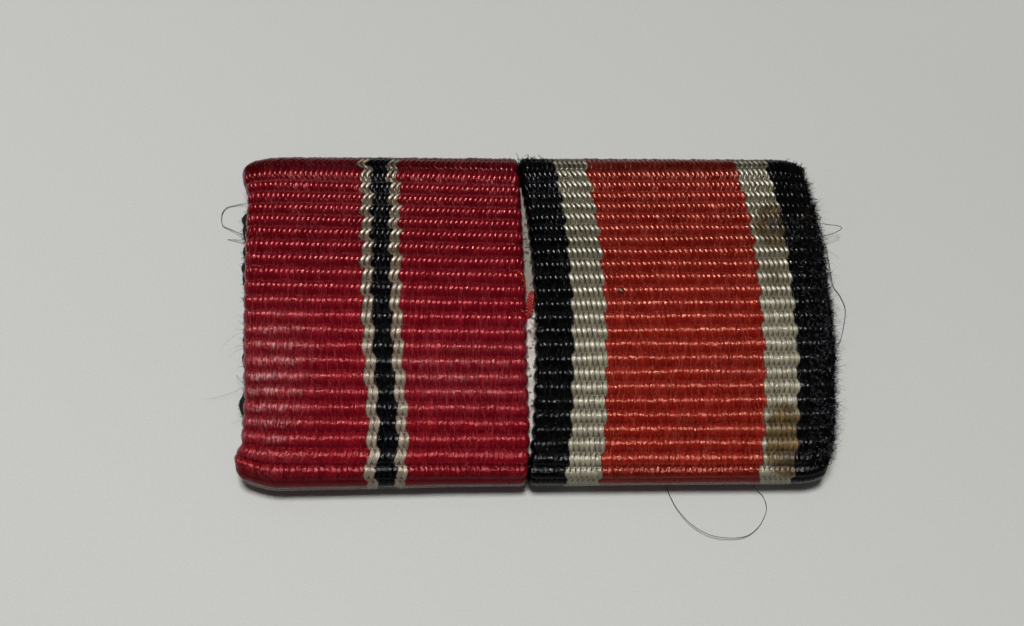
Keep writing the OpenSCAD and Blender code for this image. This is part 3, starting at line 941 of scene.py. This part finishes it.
# %% The yarns
# Each yarn's first colour is its crest with a painted highlight, the second its painted shade in the groove,
# the third the even colour of worn cloth; fold_shade and slit_shade are painted shade as well.
YARNS = {
    "crimson": dict(
        top=(0.205, 0.0030, 0.0105), painted_groove_shade=(0.112, 0.0015, 0.0058), worn=(0.200, 0.0030, 0.0100),
        tint=(1.0, 0.26, 0.26), slit_shade=0.7, shine=0.55, gloss=0.24),
    "red": dict(
        top=(0.25, 0.0085, 0.0050), painted_groove_shade=(0.155, 0.0042, 0.0024), worn=(0.245, 0.0083, 0.0048),
        tint=(1.0, 0.43, 0.31), slit_shade=0.8, shine=0.8, twist=-0.3, chalk_sheen=0.25),
    "cream": dict(
        top=(0.80, 0.77, 0.63), painted_groove_shade=(0.125, 0.110, 0.062), worn=(0.275, 0.254, 0.182),
        tint=(1.0, 0.95, 0.84), slit_shade=0.0, shine=1.0, gloss=0.28, twist=-0.3, chalk_sheen=0.1, reach=0.27,
        slit_band=(0.22, 0.5), worn_dull=0.11, takes_stain=0.95, worn_slit=1.0, fold_shade=0.7, evens=1.0,
        slit_crest=(0.12, 0.4, 0.0)),
    "black": dict(
        top=(0.0007, 0.0007, 0.0012), painted_groove_shade=(0.0004, 0.0004, 0.0007), worn=(0.0008, 0.0008, 0.0012),
        tint=(0.88, 0.92, 1.0), slit_shade=0.5, shine=0.24, gloss=0.22, twist=-0.3, chalk_sheen=0.03,
        worn_slit=1.0),
}
YARNS["ecru"] = {
    **YARNS["cream"], "top": (0.80, 0.69, 0.56), "painted_groove_shade": (0.13, 0.098, 0.062),
    "worn": (0.275, 0.225, 0.17), "tint": (1.0, 0.86, 0.74)}
FOLD_SHINE = 0.35
SOILED_SHINE = 0.5

yarns = {name: yarn(name, **look) for name, look in YARNS.items()}
folded = {}
for name, look in YARNS.items():
    folded[name] = yarn(f"{name}_fold", **{**look, "shine": FOLD_SHINE * look["shine"]})
cream_soiled = yarn("cream_soiled", **{**YARNS["cream"], "shine": SOILED_SHINE})

# %% [markdown]
# Both ribbons now stand for the plain CAD ribbons, which are hidden. Each was cut as a straight strip, and
# the flat size of that strip is the length of its middle layer round the plate.

for ribbon in (LEFT, RIGHT):
    piece = woven_ribbon(ribbon)
    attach(piece, "root")
    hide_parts(ribbon["name"])

# %% [markdown]
# ## Felt
# The felt behind the bar is dense black wool, moulded by years of wear. Simulating it as a cloth would gain
# nothing, because it is pressed flat behind the plate. So it is a slab whose two sides follow the plate and
# the ribbons' ends, with a lumpy surface that comes from smooth noise. A table gives the uneven left end,
# the only part of its outline that is well seen. Its loose fibres are made later, with the other strands.

# %% Felt slab
FELT_T = 1.0
FELT_STEP = 1.3
FELT_CORNER = 1.5
CORNER_REACH = 0.96
FELT_BOW = [
    # share of the way to a long edge, left end's and right end's share of the plate's width
    (-1.00, 0.012, -0.016), (-0.80, 0.006, -0.008), (-0.35, 0.0, 0.0), (0.00, 0.0, 0.0),
    (0.35, 0.003, -0.010), (0.70, 0.006, -0.022), (1.00, 0.012, -0.034)]
LEFT_OUT = [
    # place across the bar, how far the left end stands out there
    (-8.5, -0.3), (-7.7, -0.2), (-7.3, 0.1), (-6.6, -0.15), (-5.4, -0.1), (-4.7, 0.1), (-4.0, -0.25),
    (0.0, -0.25), (1.5, -0.15), (2.6, 0.05), (3.4, -0.05), (4.1, 0.15), (5.0, 0.1), (5.6, 0.35),
    (6.1, 0.3), (6.7, 0.6), (7.1, 0.3), (8.0, -0.3)]
EDGE_LUMP, EDGE_LUMP_LENGTH = 0.07, 0.8

felt_high = box_mm("felt_backing")[1]
felt_half_w, felt_end = felt_high[1], felt_high[0]
felt_low_r, felt_high_r = crown_r - outer_h - CLEAR, crown_r - PLATE_T / 2 - CLEAR
tuck_end = (crown_r - outer_h) * math.sin(tuck_a)


def felt_section(y):
    """Heights of the felt's upper and lower sides."""
    share = eased(np.clip((tuck_end - CLEAR - np.abs(y)) / FELT_STEP, 0, 1))
    r = felt_low_r + (felt_high_r - felt_low_r) * share
    return crown_z + np.sqrt(r ** 2 - y ** 2), np.maximum(crown_z + np.sqrt((r - FELT_T) ** 2 - y ** 2), 0)


def felt_edge(y, side):
    """Place along the bar of the felt's left or right end."""
    bow = np.array(FELT_BOW)
    out = EDGE_LUMP * ripple(y, EDGE_LUMP_LENGTH, 5)
    if side < 0:
        out = out + np.interp(y, *zip(*LEFT_OUT))
    reach = np.clip(np.abs(y) - felt_half_w + FELT_CORNER, 0, CORNER_REACH * FELT_CORNER)
    inward = FELT_CORNER - np.sqrt(FELT_CORNER ** 2 - reach ** 2)
    bent = np.interp(y / felt_half_w, bow[:, 0], bow[:, 1 if side < 0 else 2])
    return side * (felt_end - inward + out) + 2 * half_w * bent


print(f"felt {2 * felt_end:.1f} by {2 * felt_half_w:.1f} mm")

# %% [markdown]
# Felt has no thread and no grain. Its finish is twisted noise for the tangle, which drives both its two
# blacks and its bumps, with slow mottling over it and the faintest sheen.

# %% Felt finish
FELT_BLACKS = ((0.0018, 0.0018, 0.002), (0.006, 0.0056, 0.0058))
FELT_SHEEN = (0.6, 0.62, 0.7, 1)

felt_black, tree, finish = material_of("felt_black")
place = node(tree, "TexCoord").outputs["Object"]
tangle = noise(tree, place, 5200.0, 4.0, Distortion=1.5)
cloud = placed(tree, mottling, {"Place": place, "Scale": 400.0, "Amount": 0.9})
wool = blended(tree, ramped(tree, tangle, 0.35, 0.7), *FELT_BLACKS)
tree.links.new(blended(tree, 1.0, wool, cloud["Factor"], "MULTIPLY"), finish["Base Color"])
finish["Roughness"].default_value = 0.9
finish["Specular IOR Level"].default_value = 0.2
finish["Sheen Weight"].default_value = 0.01
finish["Sheen Tint"].default_value = FELT_SHEEN
bump = node(tree, "Bump", {"Strength": 0.9, "Distance": 0.00006, "Height": tangle})
tree.links.new(bump.outputs[0], finish["Normal"])
print("finish:", felt_black.name)

# %% Felt piece
FELT_ACROSS, FELT_ALONG = 70, 150
LUMP, LUMP_OUT = 0.05, 0.015
RIM_SOFT, RIM_REACH = 0.25, 0.4
OFF_GROUND = 0.02


def slab_faces(down, over):
    """Quads of two layers of down by over points, and the walls that join their borders."""
    index = np.arange(down * over).reshape(down, over)
    quads = np.stack([index[:-1, :-1], index[:-1, 1:], index[1:, 1:], index[1:, :-1]], axis=-1).reshape(-1, 4)
    border = np.concatenate([index[0, :], index[1:, -1], index[-1, -2::-1], index[-2:0:-1, 0]])
    after = np.roll(border, -1)
    walls = np.stack([border, border + down * over, after + down * over, after], axis=-1)
    return quads.tolist() + (quads[:, ::-1] + down * over).tolist() + walls.tolist()


y_rows = felt_half_w * np.sin(np.linspace(-1, 1, FELT_ACROSS + 1) * math.pi / 2)[:, None]
shares = (1 - np.cos(np.linspace(0, math.pi, FELT_ALONG + 1)))[None, :] / 2
x_rows = felt_edge(y_rows, -1) * (1 - shares) + felt_edge(y_rows, 1) * shares
upper, lower = felt_section(y_rows)
lumps = LUMP * (patches(x_rows, y_rows, 0.5, 3) + patches(x_rows, y_rows, 1.4, 4) - 1)
rim = np.minimum(np.minimum(shares, 1 - shares) * 2 * felt_end, felt_half_w - np.abs(y_rows))
soften = RIM_SOFT * (1 - np.clip(rim / RIM_REACH, 0, 1)) ** 2
layers = []
for z, inward in ((upper - soften, 1), (lower + soften * (lower > OFF_GROUND), -1)):
    z = np.maximum(z + np.minimum(inward * lumps, LUMP_OUT), 0.0)
    rows = np.stack([x_rows, np.broadcast_to(y_rows, x_rows.shape), z], axis=-1)
    layers.append(rows.reshape(-1, 3))
faces = slab_faces(FELT_ACROSS + 1, FELT_ALONG + 1)
felt = mesh_piece("felt_cloth", np.concatenate(layers), faces, [felt_black])
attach(felt, "root")
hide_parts("felt_backing")
print(f"{felt.name}: {2 * len(faces)} triangles")

# %% [markdown]
# ## Plate and pin
# The plate shows only in the gap between the ribbons and at the ends. Its paint is a smooth grey above, and
# has broken up into pale rough corrosion with dark specks lower down. The break is a soft step across the
# plate, torn by the ragged group, so no outline of it has to be drawn. Both keep their CAD shape, because
# nothing finer of them is seen. The pin, hidden behind the bar, gets dull steel with a few rust freckles.

# %% Plate finish
PAINT = (0.235, 0.205, 0.175)
CORROSION = (0.63, 0.59, 0.55)
SPECK = (0.02, 0.018, 0.015)
SPECK_BAND, SPECK_SHARE = (0.56, 0.64), 0.85
FLAKE_BAND, FLAKE_SHARE = (0.4, 0.65), 0.5
BREAK_Y, BREAK_SOFT = -0.1, 0.9


def dress(name, material):
    """Give a CAD node's own mesh a finish."""
    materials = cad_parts[name].data.materials
    materials.clear()
    materials.append(material)
    print("finish:", material.name)


plate_paint, tree, finish = material_of("plate_paint")
place = node(tree, "TexCoord").outputs["Object"]
y = node(tree, "SeparateXYZ", {0: place}).outputs["Y"]
flakes = noise(tree, place, 1500.0, 4.0)
specks = ramped(tree, noise(tree, place, 3600.0, 2.0), *SPECK_BAND)
lower_part = ramped(tree, y, (BREAK_Y + BREAK_SOFT) * MM, (BREAK_Y - BREAK_SOFT) * MM)
corroded = placed(tree, ragged, {"Mask": lower_part, "Place": place, "Grain": 1800.0, "Raggedness": 0.9})
metal = blended(tree, corroded["Mask"], PAINT, CORROSION)
metal = blended(tree, ramped(tree, flakes, *FLAKE_BAND, 0.0, FLAKE_SHARE), metal, PAINT)
metal = blended(tree, maths(tree, "MULTIPLY", specks, SPECK_SHARE), metal, SPECK)
tree.links.new(metal, finish["Base Color"])
tree.links.new(ramped(tree, corroded["Mask"], 0, 1, 0.7, 0.95), finish["Roughness"])
finish["Specular IOR Level"].default_value = 0.15
bump = node(tree, "Bump", {"Strength": 0.8, "Distance": 0.00014, "Height": flakes})
tree.links.new(bump.outputs[0], finish["Normal"])
dress("plate", plate_paint)

# %% Pin finish
STEEL, RUST = (0.42, 0.41, 0.39), (0.10, 0.035, 0.012)
RUST_BAND, RUST_DULL = (0.58, 0.66), 0.4
DRAWN_SCALE = (60, 4000, 4000)

pin_steel, tree, finish = material_of("pin_steel")
place = node(tree, "TexCoord").outputs["Object"]
drawn = node(tree, "Mapping", {"Vector": place, "Scale": DRAWN_SCALE}).outputs[0]
scratch = noise(tree, drawn, 1.0, 3.0)
freckle = placed(tree, mottling, {"Place": place, "Scale": 900.0, "Amount": 1.0})
rust = ramped(tree, freckle["Noise"], *RUST_BAND)
tree.links.new(blended(tree, rust, STEEL, RUST), finish["Base Color"])
tree.links.new(ramped(tree, rust, 0, 1, 1.0, 0.1), finish["Metallic"])
rough = ramped(tree, scratch, 0.3, 0.7, 0.25, 0.45)
tree.links.new(maths(tree, "MULTIPLY_ADD", rust, RUST_DULL, rough), finish["Roughness"])
bump = node(tree, "Bump", {"Strength": 0.3, "Distance": 0.00001, "Height": scratch})
tree.links.new(bump.outputs[0], finish["Normal"])
dress("pin", pin_steel)

# %% [markdown]
# ## Strands
# Loose fibres are what makes cloth look used. `strands` turns any number of paths into one mesh of thin
# closed tubes that thin out to their tips. Hair curves would need another kind of object and couldn't be
# shared as a plain mesh. Three sides are enough for a fibre of a hundredth of a millimetre, and one joined
# mesh is far quicker to render than thousands of small objects. A fibre is too thin to show a pattern, so
# `plain_fibre` is one colour with slow mottling, and only its gloss differs from kind to kind.

# %% A maker of strands
OFF_PATH = np.array([0.31, 0.17, 0.94])


def strands(name, paths, radii, material, sides=3, taper=0.35):
    paths = np.asarray(paths, float)
    n, m = paths.shape[:2]
    way = unit(np.gradient(paths, axis=1))
    side = unit(np.cross(way, OFF_PATH))
    lift = np.cross(way, side)
    thin = 1 - (1 - taper) * np.abs(np.linspace(-1, 1, m)) ** 3
    turn = 2 * math.pi * np.arange(sides) / sides
    reach = (np.asarray(radii)[:, None] * thin)[:, :, None, None]
    around = side[:, :, None] * np.cos(turn)[:, None] + lift[:, :, None] * np.sin(turn)[:, None]
    points = (paths[:, :, None] + reach * around).reshape(-1, 3)
    ring = np.arange(sides)
    after = (ring + 1) % sides
    base = (np.arange(n)[:, None, None] * m + np.arange(m - 1)[None, :, None]) * sides
    corners = [base + ring, base + after, base + sides + after, base + sides + ring]
    quads = np.stack(corners, axis=-1).reshape(-1, 4)
    first = np.arange(n)[:, None] * m * sides
    caps = np.concatenate([first + ring[::-1], first + (m - 1) * sides + ring])
    piece = mesh_piece(name, points, quads.tolist() + caps.tolist(), [material])
    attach(piece, "root")
    print(f"{name}: {n} strands, {2 * len(quads) + len(caps)} triangles")
    return piece


def plain_fibre(name, colour, rough=0.5, gloss=0.2):
    material, tree, finish = material_of(name)
    place = node(tree, "TexCoord").outputs["Object"]
    cloud = placed(tree, mottling, {"Place": place, "Scale": 1200.0, "Amount": 0.8})
    tree.links.new(blended(tree, 1.0, colour, cloud["Factor"], "MULTIPLY"), finish["Base Color"])
    finish["Roughness"].default_value = rough
    finish["Specular IOR Level"].default_value = gloss
    return material


print("ready to make strands")

# %% [markdown]
# Broken filaments stand up from the rubbed part of a ribbon. They lie along the warp and bridge from cord
# to cord, so they catch the light as fine lines across the grooves; the crimson and red ones are much paler
# than their yarn, a painted highlight for that light. Places are tried at random, and more of them are kept
# where the cloth is worn.

# %% Broken filaments on the ribbons
TRIES, LEAST_CHANCE = 8, 0.12
STRAY_LENGTH, STRAY_LIFT, STRAY_R = (0.4, 1.5), (0.0, 0.05), 0.0055
STRAY_SINK, STRAY_DIP = 0.03, 0.12
STRAYS = [
    # ribbon, its yarns, number of filaments, seed
    (LEFT, ("crimson", "ecru", "black"), 1100, 31),
    (RIGHT, ("red", "cream", "black"), 1300, 32),
]


def broken_filaments(ribbon, materials, count, seed):
    rng = np.random.default_rng(seed)
    tries = TRIES * count
    c = rng.uniform(1, ribbon["count"] - 1, tries)
    g = rng.uniform(-face_len, face_len, tries) / ribbon["pitch"]
    p = along_at(ribbon, c, g)
    chance = LEAST_CHANCE + soft_spots(ribbon["wear"], across_at(ribbon, c, p, g), p)
    kept = np.flatnonzero(rng.random(tries) < chance)[:count]
    c, g = c[kept], g[kept]
    step = np.linspace(0, 1, 5)[None, :]
    length = rng.uniform(*STRAY_LENGTH, len(c))[:, None]
    sway = rng.normal(0, 0.5, len(c))[:, None]
    cs = c[:, None] + sway * step + 0.25 * np.sin(5 * step + 9 * sway)
    gs = g[:, None] + length * (step - 0.5) / ribbon["pitch"]
    ps = along_at(ribbon, cs, gs)
    lift = rng.uniform(*STRAY_LIFT, len(c))[:, None]
    hs = outer_h - STRAY_SINK + lift * np.sin(math.pi * step) - STRAY_DIP * (2 * step - 1) ** 4
    paths = on_wrap(ps, hs, across_at(ribbon, cs, ps, np.round(gs)))
    colour = ribbon["ends"][np.clip(c, 0, ribbon["count"] - 1).astype(int)]
    made = []
    for name, material in materials.items():
        chosen = paths[colour == name]
        made.append(strands(f"{ribbon['name']}_fibres_{name}", chosen, [STRAY_R] * len(chosen), material))
    return made


# The crimson and red filaments' pale colours are a painted highlight.
fibre_looks = {
    "crimson": plain_fibre("fibre_crimson_lit", (0.60, 0.07, 0.08), gloss=0.1),
    "red": plain_fibre("fibre_red_lit", (0.70, 0.13, 0.07), gloss=0.1),
    "cream": plain_fibre("fibre_cream", (0.34, 0.31, 0.23)),
    "ecru": plain_fibre("fibre_ecru", (0.34, 0.28, 0.21)),
    "black": plain_fibre("fibre_black", (0.006, 0.006, 0.008)),
}
for ribbon, names, count, seed in STRAYS:
    looks = {name: fibre_looks[name] for name in names}
    broken_filaments(ribbon, looks, count, seed)

# %% [markdown]
# ## Wool
# The felt's rim and the ribbon's worn right selvedge are fringed with short curly wool. Each fibre leaves
# its root, wanders in a random direction and curls. A particle system could grow it, but a formula with a
# fixed seed gives the same fringe every time and needs nothing but the roots.

# %% Curly fibres
SIZES, RATES = (0.4, 1.3), (2.5, 7.0)
LOWEST = 0.02


def curls(roots, ways, length, curl, rng, points=7):
    """Paths that leave their roots along ways and curl, and that stay above the ground."""
    n = len(roots)
    step = np.linspace(0, 1, points)[None, :, None]
    size = (length * rng.uniform(*SIZES, n))[:, None, None]
    a = rng.normal(size=(n, 1, 3))
    b = np.cross(a, ways[:, None, :])
    phase = rng.uniform(0, 2 * math.pi, (n, 1, 1))
    rate = rng.uniform(*RATES, (n, 1, 1))
    bend = curl * size * (a * np.sin(rate * step + phase) + b * np.cos(rate * step + phase)
                          - a * np.sin(phase) - b * np.cos(phase)) / 2
    path = roots[:, None, :] + ways[:, None, :] * size * step + bend * step
    path[..., 2] = np.maximum(path[..., 2], LOWEST)
    return path


print("ready to curl")

# %% Wool round the felt
WOOL_BLACK = (0.0008, 0.0008, 0.0009)
RIM_R, LOOP_R, RIM_ROOT = 0.009, 0.006, 0.1
RIM_SPREAD, THICKNESS = 0.6, (0.7, 1.3)
LONG_EDGE_Y, LONG_EDGE_X = 0.99, 0.95


def rim_wool(name, places, ways, length, curl, rng, thick=RIM_R):
    size = np.random.default_rng(len(places)).uniform(*THICKNESS, len(places)) * thick
    piece = strands(name, curls(places - RIM_ROOT * ways, ways, length, curl, rng), size, wool_black)
    return piece


def felt_rim(count, rng, end=0, low=-1.0, high=1.0):
    """Random places on the felt's rim: on one end for end -1 or 1, and on the long edges for 0."""
    u = rng.uniform(low, high, count)
    if end:
        y = felt_half_w * u
        x, out = felt_edge(y, end), (end, 0, 0.15)
    else:
        y = felt_half_w * np.where(rng.random(count) < 0.5, -LONG_EDGE_Y, LONG_EDGE_Y)
        x, out = felt_end * LONG_EDGE_X * u, (0, 0, 0.1)
    upper, lower = felt_section(y)
    z = lower + (upper - lower) * rng.uniform(0.1, 0.9, count)
    ways = np.array(out) + rng.normal(0, RIM_SPREAD, (count, 3))
    ways[:, 1] += 0 if end else np.sign(y)
    return np.stack([x, y, z], axis=-1), unit(ways)


wool_black = plain_fibre("wool_black", WOOL_BLACK, rough=0.6, gloss=0.04)
rng = np.random.default_rng(41)
felt_wool = [
    rim_wool("felt_wool_left", *felt_rim(260, rng, -1), 0.22, 0.5, rng),
    rim_wool("felt_wool_left_loops", *felt_rim(16, rng, -1, -0.95, -0.1), 0.9, 1.3, rng, LOOP_R),
    rim_wool("felt_wool_right", *felt_rim(1500, rng, 1), 0.24, 0.6, rng),
    rim_wool("felt_wool_long_edges", *felt_rim(900, rng), 0.35, 0.6, rng),
]

# %% [markdown]
# The right ribbon's outer selvedge has felted into matted curls. Four kinds of wool make them: dense black
# curls on the upper and the lower part, a halo of very fine long ones that softens the outline, and some
# glossy blue-grey ones whose pale colour is a painted glint on the black. The table of bare threads says how
# far in from the selvedge they grow.

# %% Wool on the worn right selvedge
WORN_BARE = [
    # share of the way to a fold, threads
    (-1.1, 5.0), (-0.9, 9.5), (-0.6, 10.5), (0.0, 9.5), (0.35, 11.0), (0.5, 13.8), (0.9, 13.8),
    (1.1, 6.0)]
RAG_CROWD, RAG_EDGE, RAG_SINK = 1.2, 3, 0.03
RAG_LEAN, RAG_LIFT, RAG_SCATTER = 0.2, 0.15, (1, 1, 0.3)


def rag(name, count, low, high, material, size, thick, reach, share, rng):
    """Short wool standing on the worn part of the right ribbon's outer selvedge."""
    g = rng.uniform(low, high, count) * face_len / RIGHT["pitch"]
    bare = share * np.interp(g * RIGHT["pitch"] / face_len, *zip(*WORN_BARE))
    c = RIGHT["count"] - np.abs(rng.random(count) ** RAG_CROWD * bare)
    p, x, h, _ = surface(RIGHT, c, g)
    outward = np.clip((c - RIGHT["count"] + RAG_EDGE) / RAG_EDGE, 0, 1)
    ways = np.stack([RAG_LEAN + reach * outward, np.zeros(count), np.full(count, RAG_LIFT)], axis=-1)
    ways = unit(ways + rng.normal(0, 1.0, (count, 3)) * RAG_SCATTER)
    paths = curls(on_wrap(p, h - RAG_SINK, x), ways, size, 1.0, rng, points=5)
    piece = strands(name, paths, rng.uniform(*thick, count), material)
    return piece


rng = np.random.default_rng(43)
# The blue-grey wool's pale colour is a painted glint.
wool_glint_grey = plain_fibre("wool_glint_grey", (0.16, 0.16, 0.20), rough=0.4, gloss=0.5)
RAGS = [
    # name, count, from and to as shares of the face, wool, length, radii, lean outward, share of the width
    ("selvedge_wool_upper", 4800, 0.25, 1.03, wool_black, 0.2, (0.011, 0.019), 0.6, 1.0),
    ("selvedge_wool_lower", 4800, -1.03, 0.25, wool_black, 0.17, (0.012, 0.021), 0.6, 1.0),
    ("selvedge_wool_halo", 3600, -1.0, 0.95, wool_black, 0.3, (0.003, 0.0055), 1.2, 0.12),
    ("selvedge_wool_grey", 2000, -1.0, 0.6, wool_glint_grey, 0.14, (0.004, 0.008), 0.6, 1.0),
]
rags = [rag(*row, rng) for row in RAGS]

# %% [markdown]
# ## Odd bits in the seam
# Between the two ribbons a snippet of red threads lies on the plate, with a wisp of pale fluff below it. The
# left ribbon's selvedge has two pulled loops and a clump of frayed ends, and the right ribbon's upper corner
# is frayed. Each is made of the same strands, only thicker or curlier. The snippet is three cords of two
# plies, wound round each other along one path.

# %% A snippet of red threads
TAB_CORDS, TAB_PLIES, TAB_PLY_R, TAB_TURN = 3, 2, 0.052, 0.38
TAB_PATH = [(-0.37, 0.82), (-0.43, 0.4), (-0.53, -0.1), (-0.61, -0.74)]
TAB_APART, TAB_FAN = 0.08, 0.04
TAB_LOW, TAB_ARCH = 0.16, 0.14

step = np.linspace(0, 1, 90)
known = np.linspace(0, 1, len(TAB_PATH))
tab_x, tab_p = (np.interp(step, known, column) for column in zip(*TAB_PATH))
cord, ply = (a.reshape(-1, 1) for a in np.divmod(np.arange(TAB_CORDS * TAB_PLIES), TAB_PLIES))
wound = 2 * math.pi * (ply / TAB_PLIES + 0.3 * cord + (TAB_PATH[0][1] - tab_p) / TAB_TURN)
fan = TAB_APART + TAB_FAN * np.sin(math.pi * np.clip(1.3 * step, 0, 1) / 2)
tab_x = tab_x + (cord - (TAB_CORDS - 1) / 2) * fan + TAB_PLY_R * np.cos(wound)
tab_h = inner_h + TAB_LOW + TAB_ARCH * np.sin(math.pi * step) + TAB_PLY_R * np.sin(wound)
tab_p = np.broadcast_to(tab_p, tab_x.shape)
seam_red = plain_fibre("seam_red", (0.30, 0.006, 0.005), rough=0.25, gloss=0.45)
seam_tab = strands("seam_tab", on_wrap(tab_p, tab_h, tab_x), [TAB_PLY_R] * TAB_CORDS * TAB_PLIES, seam_red,
                   sides=8, taper=0.6)

# %% Pulled loops
LOOPS = [
    # place along the bar, along the ribbon and above the plate's middle
    [(-1.25, 1.75, 1.2), (-0.98, 1.5, 1.28), (-0.82, 1.1, 1.1), (-0.76, 0.65, 0.9), (-0.8, 0.25, 0.75)],
    [(-1.15, -0.5, 1.15), (-0.9, -0.7, 1.2), (-0.72, -1.0, 1.0), (-0.8, -1.25, 0.9), (-1.1, -1.35, 1.1)],
]
LOOP_RADII = [0.04, 0.03]


def smooth_path(points, count):
    """A smooth curve that goes through all the points."""
    points = np.array(points)
    padded = np.vstack([2 * points[0] - points[1], points, 2 * points[-1] - points[-2]])
    at = np.linspace(0, len(points) - 1 - 1e-6, count)
    i, f = np.floor(at).astype(int), (at % 1)[:, None]
    a, b, c, d = (padded[i + j] for j in range(4))
    square, cube = 2 * a - 5 * b + 4 * c - d, 3 * b - a - 3 * c + d
    return 0.5 * (2 * b + (c - a) * f + square * f ** 2 + cube * f ** 3)


loops = np.array([smooth_path(loop, 24) for loop in LOOPS])
loops = on_wrap(loops[..., 1], loops[..., 2], loops[..., 0])
seam_loops = strands("seam_loops", loops, LOOP_RADII, seam_red, sides=8, taper=0.8)

# %% A clump, a wisp and a tuft
CLUMP_COUNT, FLUFF_COUNT, TUFT_COUNT = 60, 26, 220


def bits(name, roots, lean, scatter, length, curl, thick, material):
    """Curly strands that all lean one way and are scattered round it."""
    ways = unit(np.array(lean) + rng.normal(0, scatter, (len(roots), 3)))
    paths = curls(roots, ways, length, curl, rng)
    piece = strands(name, paths, rng.uniform(*thick, len(roots)), material)
    return piece


rng = np.random.default_rng(47)
spread = rng.random(CLUMP_COUNT)
roots = on_wrap(1.85 - 0.6 * spread, np.full(CLUMP_COUNT, outer_h - 0.04), -1.2 + 0.22 * spread)
seam_clump = bits("seam_clump", roots, (0.15, -1, -0.05), 0.12, 0.26, 0.5, (0.014, 0.024), seam_red)

fluff_beige = plain_fibre("fluff_beige", (0.42, 0.35, 0.22))
fluff_p = rng.uniform(-1.75, -1.1, FLUFF_COUNT)
fluff_h = inner_h + rng.uniform(0.05, 0.3, FLUFF_COUNT)
fluff_x = rng.uniform(-0.42, -0.16, FLUFF_COUNT)
seam_fluff = bits("seam_fluff", on_wrap(fluff_p, fluff_h, fluff_x), (0, 0, 0), 1, 0.35, 0.8, (0.008, 0.014),
                  fluff_beige)

tuft_g = rng.uniform(0.97, 1.08, TUFT_COUNT) * face_len / RIGHT["pitch"]
tuft_c = 10.0 * rng.random(TUFT_COUNT) ** 2.5
p, x, h, _ = surface(RIGHT, tuft_c, tuft_g)
seam_tuft = bits("seam_tuft", on_wrap(p, h - 0.04, x), (-0.4, 0.9, 0.1), 0.6, 0.32, 0.5, (0.01, 0.024),
                 wool_black)

# %% [markdown]
# ## Loose hairs
# A few dark hairs are caught on the bar and lie in loops on the paper. Each is a handful of listed points,
# joined by the smooth curve that the pulled loops use.

# %% Hairs
HAIR_R = 0.02
HAIRS = [
    [(6.6, -8.6, 0.5), (6.92, -9.45, 0.1), (7.35, -10.46, 0.15), (8.06, -11.4, 0.3), (9.1, -12.05, 0.35),
     (10.2, -12.2, 0.3), (11.1, -12.05, 0.2), (11.8, -11.5, 0.1), (12.2, -10.8, 0.06), (12.27, -10.3, 0.06),
     (12.1, -9.8, 0.06), (11.7, -9.4, 0.2), (11.4, -8.8, 0.6)],
    [(15.6, 6.3, 2.0), (16.5, 5.35, 0.6), (16.85, 3.98, 0.2), (16.98, 2.56, 0.1), (17.36, 1.82, 0.1),
     (17.58, 1.03, 0.1), (17.37, -0.06, 0.15), (17.0, -1.08, 0.3), (16.3, -2.0, 1.0)],
    [(15.7, 5.55, 2.2), (16.6, 5.62, 1.6), (17.15, 5.66, 1.4), (17.5, 5.54, 1.3), (17.1, 5.3, 1.2),
     (16.4, 5.1, 1.2), (15.7, 4.9, 1.6)],
    [(-15.9, 7.1, 0.8), (-16.4, 7.36, 0.3), (-16.95, 7.35, 0.1), (-17.45, 7.16, 0.1), (-17.66, 6.72, 0.1),
     (-17.57, 6.1, 0.1), (-17.06, 5.8, 0.2), (-16.4, 5.37, 0.5), (-15.8, 5.0, 1.0)],
    [(-16.1, 5.0, 0.8), (-16.5, 5.08, 0.4), (-16.87, 5.18, 0.2), (-17.26, 5.24, 0.1)],
]

hair_dark = plain_fibre("hair_dark", (0.02, 0.018, 0.016), rough=0.4, gloss=0.3)
hair_paths = [smooth_path(hair, 60) for hair in HAIRS]
strands("loose_hairs", hair_paths, [HAIR_R] * len(HAIRS), hair_dark, sides=5, taper=0.7)

# %% [markdown]
# ## The ribbons' names
# The loop below only reads each ribbon's name.

for ribbon in (LEFT, RIGHT):
    name = ribbon["name"]
